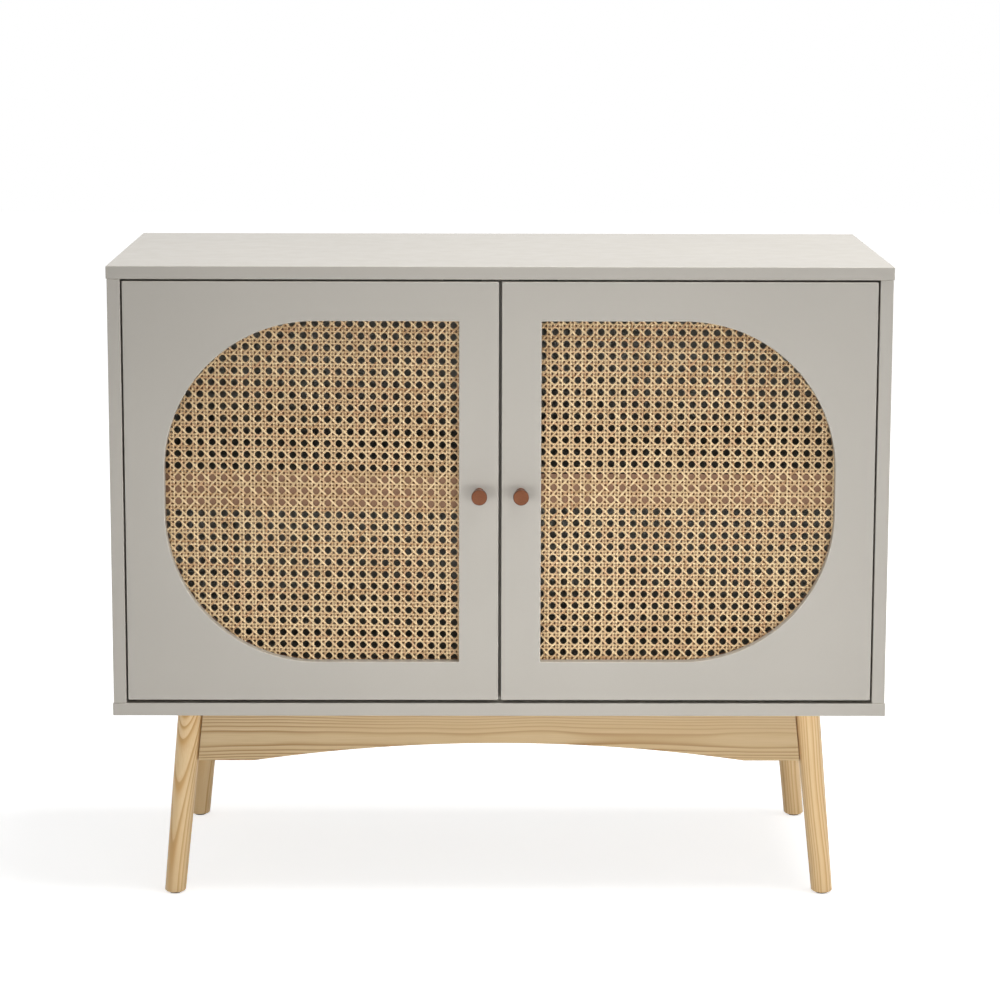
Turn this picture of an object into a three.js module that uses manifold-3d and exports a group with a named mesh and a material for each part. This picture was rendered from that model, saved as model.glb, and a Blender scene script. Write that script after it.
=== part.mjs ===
// A free-standing sideboard: a painted board case with two inset doors, each with a D-shaped window of
// woven cane, on a pine leg frame with round legs that splay sideways. Millimetres, +Z up, the front faces
// -Y, and the origin is on the floor under the middle of the whole part, knobs included.
import * as THREE from "three";
import { mergeVertices } from "three/addons/utils/BufferGeometryUtils.js";
import Module from "manifold-3d";

const wasm = await Module();
wasm.setup();

// Driving dimensions of the whole
const caseWidth = 900;
const caseDepth = 400;
const caseHeight = 526;
const legHeight = 224; // floor to the underside of the case
const seatGap = 0.3; // between pieces that touch
const overrun = 5; // how far a cutter runs past the face that it opens

// Case boards
const boardThickness = 15;
const sideInset = 1; // the side panels stand in from the ends of the top and bottom panels
const backThickness = 3;
const backInset = 10; // from the rear edges of the case to the back panel
const grooveDepth = 5;
const partitionSetback = 2; // behind the backs of the shut doors

// Shelves and their pins
const shelfThickness = 15;
const shelfSetback = 30; // behind the backs of the shut doors
const shelfSideGap = 0.8;
const shelfRearGap = 2;
const pinDiameter = 5;
const pinHoleDepth = 6;
const pinHeadDiameter = 7;
const pinReach = 9; // from the board to the pin's end
const pinRowInset = 45; // from the shelf's front and rear edges to the pins
const pinHolePitch = 32;

// Doors
const doorThickness = 15;
const doorSideGap = 2.2;
const doorTopGap = 2.4;
const doorBottomGap = 4;
const doorMeetingGap = 3.6; // between the two doors
const windowMargin = 45.5; // from the door's edges to the window
const windowRadius = 174; // of the two corners on the hinge side

// Cane, the rebate that it lies in and the board ring behind it
const rebateWidth = 8;
const rebateDepth = 2.7;
const caneThickness = 2.1;
const caneHoleWidth = 12;
const caneHoleHeight = 12.4;
const caneBarWidth = 14.6; // between two holes of a row
const caneBarHeight = 15.6; // between two rows
const caneHoleMargin = 3; // from the window's edge
const retainerWidth = 14;
const retainerThickness = 6;
const crossbarHeight = 40;

// Knobs
const knobDiameter = 18;
const knobLength = 30;
const knobRim = 7; // length of the broad head
const knobNeckDiameter = 10;
const knobFootDiameter = 12.5;
const knobFootLength = 6;
const knobEdgeRadius = 1.5;
const knobFromEdge = 22.1; // from the door's meeting edge
const knobBoreDepth = 14;
const screwDiameter = 4;
const screwHeadDiameter = 8;
const screwHeadHeight = 2.4;

// Hinges: a cup in the door with a pin across it, and an arm that is cranked round the edge of the door
const hingeInset = 80; // from the door's top and bottom edges
const cupDiameter = 35;
const cupWall = 0.8;
const cupDepth = 11.5;
const cupFromEdge = 4;
const cupLipWidth = 1.5;
const cupLipThickness = 1.2;
const cupWingWidth = 18;
const cupWingSpan = 58;
const wingHoleDiameter = 4;
const wingHoleInset = 6;
const pivotFromEdge = 13;
const pivotDepth = 7; // behind the door's front face
const hingePinDiameter = 2.4;
const hingeEyeDiameter = 4.6;
const armThickness = 2.2;
const armWidth = 11;
const armBend = 4; // length of each slanted corner of the arm
const armCupClearance = 3;
const sweepClearance = 1; // between the turning door and the arm
const armTail = 42; // the straight stretch along the side panel
const plateThickness = 4;
const plateWidth = 15;
const plateWingThickness = 2;
const plateWingWidth = 13;
const plateWingSpan = 52;
const plateWingSetback = 18;

// Catches
const catchWidth = 44;
const catchDepth = 16;
const catchHeight = 14;
const catchFromPartition = 14;
const strikeWidth = 38;
const strikeHeight = 12;
const strikeThickness = 1.2;
const strikeTopInset = 1.5; // below the door's top edge
const catchGap = 0.5; // from the strike plate of the shut door

// Legs and glides
const legEndInset = 87.5; // from the end of the case to the leg's axis at the top
const legFaceInset = 36; // from the front and rear of the case to the legs' axes
const legSplay = THREE.MathUtils.degToRad(5.5);
const legTopDiameter = 29.5;
const legFootDiameter = 24.8;
const footChamfer = 1.4;
const glideDiameter = 15;
const glideThickness = 2;
const nailDiameter = 2.4;
const nailLength = 14;

// Aprons, rails and corner blocks
const railThickness = 18;
const apronHeight = 61;
const archRise = 21;
const archEndLength = 66; // level stretch of the lower edge beside each leg
const sideRailHeight = 45;
const tenonLength = 9;
const tenonThickness = 8;
const tenonShoulder = 8;
const blockLeg = 62;
const blockHeight = 25;
const blockNose = 16; // width of the block's blunt ends

// Facets
const roundSides = 20;
const smallRoundSides = 8;
const cornerSegments = 7;
const archSegments = 16;

// Places worked out from the sizes above
const frontY = (knobLength + seatGap - caseDepth) / 2;
const rearY = frontY + caseDepth;
const bottomTopZ = legHeight + boardThickness;
const topUnderZ = legHeight + caseHeight - boardThickness;
const insideHeight = topUnderZ - bottomTopZ;
const innerHalfWidth = caseWidth / 2 - sideInset - boardThickness;
const backPanelFrontY = rearY - backInset - backThickness;
const doorWidth = innerHalfWidth - doorSideGap - doorMeetingGap / 2;
const doorHeight = insideHeight - doorTopGap - doorBottomGap;
const doorBottomZ = bottomTopZ + doorBottomGap;
const doorBackY = frontY + doorThickness;
const doorMiddleZ = doorBottomZ + doorHeight / 2;
const partitionFrontY = doorBackY + partitionSetback;

// Colours, roughness and metalness of the finishes
const finishes = {
  paint: { color: 0xb8b2a6, roughness: 0.55, metalness: 0 },
  rawBoard: { color: 0x9c7a62, roughness: 0.85, metalness: 0 },
  hardboard: { color: 0xb3aca0, roughness: 0.7, metalness: 0 },
  pine: { color: 0xcfae82, roughness: 0.6, metalness: 0 },
  cane: { color: 0xdcbf92, roughness: 0.65, metalness: 0 },
  copperBrown: { color: 0x93604a, roughness: 0.4, metalness: 0.3 },
  steel: { color: 0xb5b6b8, roughness: 0.35, metalness: 1 },
  darkPlastic: { color: 0x2b2622, roughness: 0.6, metalness: 0 },
};

// Makes a solid of a closed geometry, so that it can be cut and joined.
function solidOf(geometry) {
  const bare = geometry.clone();
  bare.deleteAttribute("normal");
  bare.deleteAttribute("uv");
  const merged = mergeVertices(bare);
  const vertProperties = merged.attributes.position.array;
  const triVerts = new Uint32Array(merged.index.array);
  return new wasm.Manifold(new wasm.Mesh({ numProp: 3, vertProperties, triVerts }));
}

function geometryOf(solid) {
  const mesh = solid.getMesh();
  const geometry = new THREE.BufferGeometry();
  geometry.setAttribute("position", new THREE.BufferAttribute(mesh.vertProperties, mesh.numProp));
  geometry.setIndex(new THREE.BufferAttribute(mesh.triVerts, 1));
  return geometry;
}

function joined(geometries) {
  return geometryOf(geometries.map(solidOf).reduce((whole, piece) => whole.add(piece)));
}

function cut(geometry, cutters) {
  return geometryOf(cutters.map(solidOf).reduce((rest, cutter) => rest.subtract(cutter), solidOf(geometry)));
}

function common(first, second) {
  return geometryOf(solidOf(first).intersect(solidOf(second)));
}

// A named mesh in one of the finishes.
function piece(name, geometry, finish) {
  const drawn = geometry.index ? geometry.toNonIndexed() : geometry;
  drawn.computeVertexNormals();
  const mesh = new THREE.Mesh(drawn, new THREE.MeshStandardMaterial(finishes[finish]));
  mesh.name = name;
  return mesh;
}

// A box between two corners.
function block(low, high) {
  const size = high.map((value, axis) => value - low[axis]);
  const middle = high.map((value, axis) => (value + low[axis]) / 2);
  return new THREE.BoxGeometry(...size).translate(...middle);
}

// A closed cylinder from a starting point along X, Y or Z.
function rod(axis, diameter, length, start, sides = roundSides) {
  const geometry = new THREE.CylinderGeometry(diameter / 2, diameter / 2, length, sides);
  if (axis === "x") geometry.rotateZ(Math.PI / 2).translate(length / 2, 0, 0);
  if (axis === "y") geometry.translate(0, length / 2, 0);
  if (axis === "z") geometry.rotateX(Math.PI / 2).translate(0, 0, length / 2);
  return geometry.translate(...start);
}

// An outline drawn in X and Z, given a thickness along +Y from startY.
function slabAlongY(shape, thickness, startY, curveSegments = cornerSegments) {
  const geometry = new THREE.ExtrudeGeometry(shape, { depth: thickness, bevelEnabled: false, curveSegments });
  return geometry.rotateX(Math.PI / 2).translate(0, startY + thickness, 0);
}

function shapeOf(points) {
  return new THREE.Shape(points.map(([across, up]) => new THREE.Vector2(across, up)));
}

// Turns a profile of [radius, height] points round the Y axis, from the bottom up on the outside.
function turned(profile, sides = roundSides) {
  return new THREE.LatheGeometry(profile.map(([radius, height]) => new THREE.Vector2(radius, height)), sides);
}

// Top and bottom panels, each with a groove for the back panel in its inner face.
function endPanel(name, lowZ, grooveLowZ, grooveHighZ) {
  const reach = innerHalfWidth + grooveDepth;
  const groove = block(
    [-reach, backPanelFrontY - seatGap, grooveLowZ],
    [reach, backPanelFrontY + backThickness + seatGap, grooveHighZ],
  );
  const board = block([-caseWidth / 2, frontY, lowZ], [caseWidth / 2, rearY, lowZ + boardThickness]);
  return piece(name, cut(board, [groove]), "paint");
}

// The bored holes for shelf pins in one face of an upright board: three heights in two rows.
function pinHoles(faceX, direction) {
  return shelfPinRows().flatMap((y) =>
    [-pinHolePitch, 0, pinHolePitch].map((step) =>
      rod(
        "x",
        pinDiameter + 2 * seatGap,
        pinHoleDepth + overrun,
        [direction > 0 ? faceX - overrun : faceX - pinHoleDepth, y, shelfPinZ() + step],
        smallRoundSides,
      ),
    ),
  );
}

function shelfFrontY() {
  return doorBackY + shelfSetback;
}

function shelfPinRows() {
  return [shelfFrontY() + pinRowInset, backPanelFrontY - shelfRearGap - pinRowInset];
}

function shelfUnderZ() {
  return doorMiddleZ - shelfThickness / 2;
}

function shelfPinZ() {
  return shelfUnderZ() - seatGap - pinHeadDiameter / 2;
}

function sidePanel(name, side) {
  const low = Math.min(side * innerHalfWidth, side * (innerHalfWidth + boardThickness));
  const board = block(
    [low, frontY, bottomTopZ + seatGap],
    [low + boardThickness, rearY, topUnderZ - seatGap],
  );
  const grooveReach = [side * (innerHalfWidth - overrun), side * (innerHalfWidth + grooveDepth)];
  const groove = block(
    [Math.min(...grooveReach), backPanelFrontY - seatGap, bottomTopZ],
    [Math.max(...grooveReach), backPanelFrontY + backThickness + seatGap, topUnderZ],
  );
  return piece(name, cut(board, [groove, ...pinHoles(side * innerHalfWidth, side)]), "paint");
}

function centrePartition() {
  const half = boardThickness / 2;
  const board = block(
    [-half, partitionFrontY, bottomTopZ + seatGap],
    [half, backPanelFrontY - seatGap, topUnderZ - seatGap],
  );
  return piece("centre_partition", cut(board, [...pinHoles(-half, 1), ...pinHoles(half, -1)]), "paint");
}

function backPanel() {
  const reach = grooveDepth - seatGap;
  return piece(
    "back_panel",
    block(
      [-innerHalfWidth - reach, backPanelFrontY, bottomTopZ - reach],
      [innerHalfWidth + reach, backPanelFrontY + backThickness, topUnderZ + reach],
    ),
    "hardboard",
  );
}

function shelf(name, side) {
  const ends = [side * (boardThickness / 2 + shelfSideGap), side * (innerHalfWidth - shelfSideGap)];
  return piece(
    name,
    block(
      [Math.min(...ends), shelfFrontY(), shelfUnderZ()],
      [Math.max(...ends), backPanelFrontY - shelfRearGap, shelfUnderZ() + shelfThickness],
    ),
    "paint",
  );
}

// A pin with its shank in the bored hole and a thicker head under the shelf.
function shelfPin(name, faceX, intoBoard, y) {
  const shank = pinDiameter / 2;
  const head = pinHeadDiameter / 2;
  const peg = turned(
    [
      [0, seatGap - pinHoleDepth],
      [shank, seatGap - pinHoleDepth],
      [shank, seatGap],
      [head, seatGap],
      [head, pinReach - (head - shank)],
      [shank, pinReach],
      [0, pinReach],
    ],
    smallRoundSides,
  );
  const mesh = piece(name, peg, "steel");
  mesh.rotation.z = (intoBoard * Math.PI) / 2;
  mesh.position.set(faceX, y, shelfPinZ());
  return mesh;
}

function shelfPins(prefix, side) {
  const [frontRow, rearRow] = shelfPinRows();
  const outerFace = side * innerHalfWidth;
  const innerFace = (side * boardThickness) / 2;
  return [
    shelfPin(prefix + "_shelf_pin_1", outerFace, side, frontRow),
    shelfPin(prefix + "_shelf_pin_2", outerFace, side, rearRow),
    shelfPin(prefix + "_shelf_pin_3", innerFace, -side, frontRow),
    shelfPin(prefix + "_shelf_pin_4", innerFace, -side, rearRow),
  ];
}

// The magnetic catch hangs under the top panel, just behind the strike plate of the shut door.
function magneticCatch(name, side) {
  const reach = [side * catchLowX(), side * (catchLowX() + catchWidth)];
  const front = doorBackY + seatGap + strikeThickness + catchGap;
  return piece(
    name,
    block(
      [Math.min(...reach), front, topUnderZ - seatGap - catchHeight],
      [Math.max(...reach), front + catchDepth, topUnderZ - seatGap],
    ),
    "darkPlastic",
  );
}

function catchLowX() {
  return boardThickness / 2 + catchFromPartition;
}

// A door hangs in a group whose origin is on its hinge axis, level with the door's lower edge. Inside the
// group a place across the door is given by its distance from the hinge edge, on either hand.
class DoorPlaces {
  constructor(side) {
    this.side = side;
    this.originX = side * (innerHalfWidth - doorSideGap - pivotFromEdge);
  }

  x(fromHingeEdge) {
    return this.side * (pivotFromEdge - fromHingeEdge);
  }

  y(fromFront) {
    return fromFront - pivotDepth;
  }

  // A box given by distances from the hinge edge, the front face and the lower edge.
  box(low, high) {
    const across = [this.x(low[0]), this.x(high[0])];
    return block(
      [Math.min(...across), this.y(low[1]), low[2]],
      [Math.max(...across), this.y(high[1]), high[2]],
    );
  }

  // The window's outline, grown by a margin all round, as one closed path from the lower meeting-side
  // corner: straight on the meeting side, round on the hinge side. It can stop at a lower and upper height.
  trace(path, grown, lowZ = -Infinity, highZ = Infinity) {
    const radius = windowCorner() + grown;
    const hingeX = windowMargin - grown;
    const meetingX = doorWidth - windowMargin + grown;
    const bottom = Math.max(windowMargin - grown, lowZ);
    const top = Math.min(doorHeight - windowMargin + grown, highZ);
    const arcX = this.x(hingeX + radius);
    const clockwise = this.side < 0;
    const hingeAngle = clockwise ? Math.PI : 0;
    path.moveTo(this.x(meetingX), bottom);
    if (lowZ === -Infinity) {
      path.lineTo(arcX, bottom);
      path.absarc(arcX, bottom + radius, radius, -Math.PI / 2, hingeAngle, clockwise);
    } else path.lineTo(this.x(hingeX), bottom);
    if (highZ === Infinity) {
      path.lineTo(this.x(hingeX), top - radius);
      path.absarc(arcX, top - radius, radius, hingeAngle, Math.PI / 2, clockwise);
    } else path.lineTo(this.x(hingeX), top);
    path.lineTo(this.x(meetingX), top);
    path.closePath();
    return path;
  }

  // Whether a point is inside the window by a margin.
  isInWindow(fromHingeEdge, height, margin) {
    const low = windowMargin + margin;
    const arcCentre = windowMargin + windowCorner();
    const up = Math.min(height, doorHeight - height);
    if (up < low || fromHingeEdge < low || fromHingeEdge > doorWidth - low) return false;
    if (fromHingeEdge > arcCentre || up > arcCentre) return true;
    return Math.hypot(arcCentre - fromHingeEdge, arcCentre - up) < windowCorner() - margin;
  }
}

function windowHeight() {
  return doorHeight - 2 * windowMargin;
}

// The two round corners stay clear of the bar across the cane.
function windowCorner() {
  return Math.min(windowRadius, (windowHeight() - crossbarHeight) / 2);
}

function cupCentre() {
  return cupFromEdge + cupDiameter / 2;
}

function hingeHeights() {
  return [hingeInset, doorHeight - hingeInset];
}

function doorFrame(name, at) {
  const outline = at.trace(new THREE.Shape(), 0);
  const window = slabAlongY(outline, doorThickness + 2 * overrun, at.y(-overrun));
  const rebate = slabAlongY(
    at.trace(new THREE.Shape(), rebateWidth),
    rebateDepth + overrun,
    at.y(doorThickness - rebateDepth),
  );
  const bores = hingeHeights().map((height) =>
    rod("y", cupDiameter + 2 * seatGap, cupDepth + seatGap + overrun, [
      at.x(cupCentre()),
      at.y(doorThickness - cupDepth - seatGap),
      height,
    ]),
  );
  const knobHole = rod(
    "y",
    screwDiameter + 2 * seatGap,
    doorThickness + 2 * overrun,
    [at.x(doorWidth - knobFromEdge), at.y(-overrun), doorHeight / 2],
    smallRoundSides,
  );
  const board = at.box([0, 0, 0], [doorWidth, doorThickness, doorHeight]);
  return piece(name, cut(board, [window, rebate, ...bores, knobHole]), "paint");
}

// The cane sheet is a flat net in the rebate. Its holes follow the weave at twice its pitch.
function cane(name, at) {
  const frontOfSheet = doorThickness - rebateDepth + seatGap;
  const backOfSheet = frontOfSheet + caneThickness;
  const pitchX = caneHoleWidth + caneBarWidth;
  const pitchZ = caneHoleHeight + caneBarHeight;
  const columns = Math.floor((doorWidth - 2 * windowMargin) / pitchX);
  const rows = Math.floor(windowHeight() / pitchZ);
  const firstX = (doorWidth - (columns - 1) * pitchX) / 2;
  const firstZ = (doorHeight - (rows - 1) * pitchZ) / 2;
  const halfWidth = caneHoleWidth / 2;
  const halfHeight = caneHoleHeight / 2;
  const holes = [];
  for (let column = 0; column < columns; column++)
    for (let row = 0; row < rows; row++) {
      const middleX = firstX + column * pitchX;
      const middleZ = firstZ + row * pitchZ;
      const ends = [middleX - halfWidth, middleX + halfWidth];
      const levels = [middleZ - halfHeight, middleZ + halfHeight];
      if (!ends.every((x) => levels.every((z) => at.isInWindow(x, z, caneHoleMargin)))) continue;
      const low = [ends[0], frontOfSheet - overrun, levels[0]];
      holes.push(at.box(low, [ends[1], backOfSheet + overrun, levels[1]]));
    }
  const outline = at.trace(new THREE.Shape(), rebateWidth - seatGap);
  const sheet = slabAlongY(outline, caneThickness, at.y(frontOfSheet));
  return piece(name, cut(sheet, holes), "cane");
}

// A ring of raw board behind the window, with a bar across it, clamps the cane from behind.
function caneRetainer(name, at) {
  const barLow = (doorHeight - crossbarHeight) / 2;
  const startY = at.y(doorThickness + seatGap);
  const board = slabAlongY(at.trace(new THREE.Shape(), retainerWidth), retainerThickness, startY);
  const openings = [
    at.trace(new THREE.Shape(), 0, -Infinity, barLow),
    at.trace(new THREE.Shape(), 0, barLow + crossbarHeight, Infinity),
  ].map((outline) => slabAlongY(outline, retainerThickness + 2 * overrun, startY - overrun));
  return piece(name, cut(board, openings), "rawBoard");
}

function knob(name, at) {
  const radius = knobDiameter / 2;
  const bore = screwDiameter / 2 + seatGap;
  const profile = [
    [0, knobBoreDepth],
    [bore, knobBoreDepth],
    [bore, 0],
    [knobFootDiameter / 2, 0],
    [knobFootDiameter / 2, knobFootLength / 2],
    [knobNeckDiameter / 2, knobFootLength],
    [knobNeckDiameter / 2, knobLength - knobRim - knobEdgeRadius],
    [radius - knobEdgeRadius, knobLength - knobRim],
    [radius, knobLength - knobRim + knobEdgeRadius],
    [radius, knobLength - knobEdgeRadius],
    [radius - knobEdgeRadius, knobLength],
    [0, knobLength],
  ];
  const mesh = piece(name, turned(profile), "copperBrown");
  mesh.rotation.x = Math.PI;
  mesh.position.set(at.x(doorWidth - knobFromEdge), at.y(-seatGap), doorHeight / 2);
  return mesh;
}

// The screw's head is on the back of the door, and its shank runs through the door into the knob.
function knobScrew(name, at) {
  const shank = screwDiameter / 2;
  const head = screwHeadDiameter / 2;
  const tip = doorThickness + seatGap + knobBoreDepth;
  const profile = [
    [0, -screwHeadHeight],
    [head - screwHeadHeight / 2, -screwHeadHeight],
    [head, -screwHeadHeight / 2],
    [head, 0],
    [shank, 0],
    [shank, tip - shank],
    [0, tip],
  ];
  const mesh = piece(name, turned(profile, smallRoundSides), "steel");
  mesh.rotation.x = Math.PI;
  mesh.position.set(at.x(doorWidth - knobFromEdge), at.y(doorThickness + seatGap), doorHeight / 2);
  return mesh;
}

function strikePlate(name, at) {
  const fromMiddle = catchLowX() + (catchWidth - strikeWidth) / 2 - doorMeetingGap / 2;
  const topZ = doorHeight - strikeTopInset;
  const plate = at.box(
    [doorWidth - fromMiddle - strikeWidth, doorThickness + seatGap, topZ - strikeHeight],
    [doorWidth - fromMiddle, doorThickness + seatGap + strikeThickness, topZ],
  );
  return piece(name, plate, "steel");
}

// The cup lies in its bore with its lip and two screw wings on the back of the door, and holds the pin.
function hingeCup(name, at, height) {
  const outer = cupDiameter / 2;
  const inner = outer - cupWall;
  const mouth = cupDepth + seatGap + cupLipThickness;
  const shell = turned([
    [0, 0],
    [outer, 0],
    [outer, cupDepth + seatGap],
    [outer + cupLipWidth, cupDepth + seatGap],
    [outer + cupLipWidth, mouth],
    [inner, mouth],
    [inner, cupWall],
    [0, cupWall],
  ]).translate(0, doorThickness - cupDepth, 0);
  const wings = [-1, 1].map((end) => {
    const reach = [end * (outer - cupWall / 2), (end * cupWingSpan) / 2];
    const wing = block(
      [-cupWingWidth / 2, doorThickness + seatGap, Math.min(...reach)],
      [cupWingWidth / 2, doorThickness + seatGap + cupLipThickness, Math.max(...reach)],
    );
    const hole = rod(
      "y",
      wingHoleDiameter,
      cupLipThickness + 2 * overrun,
      [0, doorThickness - overrun, end * (cupWingSpan / 2 - wingHoleInset)],
      smallRoundSides,
    );
    return cut(wing, [hole]);
  });
  const pinX = at.side * (cupCentre() - pivotFromEdge);
  const pinHalf = Math.sqrt((outer - cupWall / 2) ** 2 - pinX ** 2);
  const pin = rod("z", hingePinDiameter, 2 * pinHalf, [pinX, pivotDepth, -pinHalf], smallRoundSides);
  const mesh = piece(name, joined([shell, ...wings, pin]), "steel");
  mesh.position.set(at.x(cupCentre()), at.y(0), height);
  return mesh;
}

// The arm's middle line in plan, from the pin: out of the cup, back past the turning edge of the door and
// along the plate on the side panel. Its X grows towards the middle of the case.
function armLine() {
  const cupX = cupCentre() - pivotFromEdge;
  const cupReach = Math.sqrt((cupDiameter / 2 - cupWall) ** 2 - (armWidth / 2) ** 2);
  const outX = cupX + cupReach - armCupClearance - armThickness / 2;
  const sweep = Math.hypot(pivotFromEdge, Math.max(pivotDepth, doorThickness - pivotDepth));
  const backY = sweep + sweepClearance + armThickness / 2;
  const panelX = -pivotFromEdge - doorSideGap;
  const tailX = panelX + plateThickness + 2 * seatGap + armThickness / 2;
  return [
    [0, 0],
    [outX - armBend, 0],
    [outX, armBend],
    [outX, backY - armBend],
    [outX - armBend, backY],
    [tailX + armBend, backY],
    [tailX, backY + armBend],
    [tailX, backY + armTail],
  ];
}

// The outline of a strip of even thickness that follows a line of points.
function stripOutline(line, thickness) {
  const points = line.map(([x, y]) => new THREE.Vector2(x, y));
  const offsets = points.map((point, index) => {
    const before = point.clone().sub(points[Math.max(index - 1, 0)]).normalize();
    const after = points[Math.min(index + 1, points.length - 1)].clone().sub(point).normalize();
    const along = before.add(after).normalize();
    const lean = index > 0 && index < points.length - 1 ? after.dot(along) : 1;
    return new THREE.Vector2(-along.y, along.x).multiplyScalar(thickness / 2 / lean);
  });
  const left = points.map((point, index) => point.clone().add(offsets[index]));
  const right = points.map((point, index) => point.clone().sub(offsets[index]));
  return [...left, ...right.reverse()];
}

function hingeArm(name, at, height) {
  const outline = stripOutline(armLine(), armThickness).map((point) => point.setX(-at.side * point.x));
  const strip = new THREE.ExtrudeGeometry(new THREE.Shape(outline), { depth: armWidth, bevelEnabled: false });
  strip.translate(0, 0, -armWidth / 2);
  const eye = rod("z", hingeEyeDiameter, armWidth, [0, 0, -armWidth / 2]);
  const holeStart = -armWidth / 2 - overrun;
  const hole = rod("z", hingePinDiameter + 2 * seatGap, armWidth + 2 * overrun, [0, 0, holeStart]);
  const mesh = piece(name, cut(joined([strip, eye]), [hole]), "steel");
  mesh.position.set(at.originX, frontY + pivotDepth, doorBottomZ + height);
  return mesh;
}

// The mounting plate, screwed to the side panel under the arm's straight stretch.
function hingePlate(name, at, height) {
  const line = armLine();
  const startY = frontY + pivotDepth + line[line.length - 3][1] - armThickness / 2;
  const endY = frontY + pivotDepth + line[line.length - 1][1];
  const faceX = innerHalfWidth - seatGap;
  const plateBox = (thickness, lowY, highY, span) => {
    const across = [at.side * (faceX - thickness), at.side * faceX];
    return block([Math.min(...across), lowY, -span / 2], [Math.max(...across), highY, span / 2]);
  };
  const wingY = startY + plateWingSetback;
  const body = joined([
    plateBox(plateThickness, startY, endY, plateWidth),
    plateBox(plateWingThickness, wingY, wingY + plateWingWidth, plateWingSpan),
  ]);
  const holes = [-1, 1].map((end) =>
    rod(
      "x",
      wingHoleDiameter,
      plateWingThickness + 2 * overrun,
      [
        at.side * faceX - plateWingThickness / 2 - overrun,
        wingY + plateWingWidth / 2,
        end * (plateWingSpan / 2 - wingHoleInset),
      ],
      smallRoundSides,
    ),
  );
  const mesh = piece(name, cut(body, holes), "steel");
  mesh.position.z = doorBottomZ + height;
  return mesh;
}

function door(prefix, side) {
  const at = new DoorPlaces(side);
  const group = new THREE.Group();
  group.position.set(at.originX, frontY + pivotDepth, doorBottomZ);
  const [lower, upper] = hingeHeights();
  group.add(
    doorFrame(prefix + "_door_frame", at),
    cane(prefix + "_cane", at),
    caneRetainer(prefix + "_cane_retainer", at),
    knob(prefix + "_knob", at),
    knobScrew(prefix + "_knob_screw", at),
    strikePlate(prefix + "_strike_plate", at),
    hingeCup(prefix + "_lower_hinge_cup", at, lower),
    hingeCup(prefix + "_upper_hinge_cup", at, upper),
  );
  return group;
}

function hingesOnCase(prefix, side) {
  const at = new DoorPlaces(side);
  const [lower, upper] = hingeHeights();
  return [
    hingeArm(prefix + "_lower_hinge_arm", at, lower),
    hingeArm(prefix + "_upper_hinge_arm", at, upper),
    hingePlate(prefix + "_lower_hinge_plate", at, lower),
    hingePlate(prefix + "_upper_hinge_plate", at, upper),
  ];
}

// The leg frame. A leg's axis lies in an upright plane along X, so a place on it is a distance from the
// middle of the case at a height, and its outline there is a straight tapered line.
const legTopZ = legHeight - seatGap;
const legFootZ = glideThickness + seatGap;
const legTopX = caseWidth / 2 - legEndInset;
const frontLegY = frontY + legFaceInset;
const rearLegY = rearY - legFaceInset;

function legAxisX(height) {
  return legTopX + (legHeight - height) * Math.tan(legSplay);
}

function legRadius(height) {
  return THREE.MathUtils.lerp(legFootDiameter, legTopDiameter, height / legHeight) / 2;
}

function legInnerX(height) {
  return legAxisX(height) - legRadius(height) / Math.cos(legSplay);
}

// The tenon of an apron, drawn in X and Z with its end parallel to the leg. Grown, it is the mortise.
function apronTenonShape(side, grown) {
  const low = legHeight - apronHeight + tenonShoulder - grown;
  const high = legHeight - tenonShoulder + grown;
  const reach = tenonLength + grown;
  return shapeOf([
    [side * (legInnerX(low) - overrun), low],
    [side * (legInnerX(low) + reach), low],
    [side * (legInnerX(high) + reach), high],
    [side * (legInnerX(high) - overrun), high],
  ]);
}

// A side rail's section in X and Z, leaning as the legs lean.
function sideRailShape(side, thickness, low, high) {
  return shapeOf([
    [side * (legAxisX(low) - thickness / 2), low],
    [side * (legAxisX(low) + thickness / 2), low],
    [side * (legAxisX(high) + thickness / 2), high],
    [side * (legAxisX(high) - thickness / 2), high],
  ]);
}

function railTenonShape(side, grown) {
  const low = legHeight - sideRailHeight + tenonShoulder - grown;
  const high = legHeight - tenonShoulder + grown;
  return sideRailShape(side, tenonThickness + 2 * grown, low, high);
}

// A leg turned to a taper, cut level at both ends, with a chamfered foot, two mortises and a nail hole.
function leg(name, side, y, inward) {
  const length = legHeight / Math.cos(legSplay);
  const grow = (legRadius(legHeight) - legRadius(0)) / legHeight;
  const spare = legTopDiameter;
  const taper = new THREE.CylinderGeometry(
    legRadius(legHeight) + grow * spare,
    legRadius(0) - grow * spare,
    length + 2 * spare,
    roundSides,
  );
  taper.rotateX(Math.PI / 2).rotateY(-side * legSplay);
  taper.translate(side * legAxisX(legHeight / 2), y, legHeight / 2);
  const footRadius = legRadius(0) - footChamfer;
  const height = legTopZ - legFootZ;
  const ends = new THREE.CylinderGeometry(footRadius + height, footRadius, height, roundSides);
  ends.rotateX(Math.PI / 2).translate(side * legAxisX(legFootZ), y, legFootZ + height / 2);
  const mortiseY = y - (tenonThickness + 2 * seatGap) / 2;
  const apronMortise = slabAlongY(apronTenonShape(side, seatGap), tenonThickness + 2 * seatGap, mortiseY);
  const railReach = [y + inward * (railEndOffset() - tenonLength - seatGap), y + inward * legTopDiameter];
  const railMortise = slabAlongY(
    railTenonShape(side, seatGap),
    Math.abs(railReach[1] - railReach[0]),
    Math.min(...railReach),
  );
  const nailHole = rod(
    "z",
    nailDiameter + 2 * seatGap,
    nailLength + seatGap + overrun,
    [side * legAxisX(legFootZ), y, legFootZ - overrun],
    smallRoundSides,
  );
  return piece(name, cut(common(taper, ends), [apronMortise, railMortise, nailHole]), "pine");
}

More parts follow.
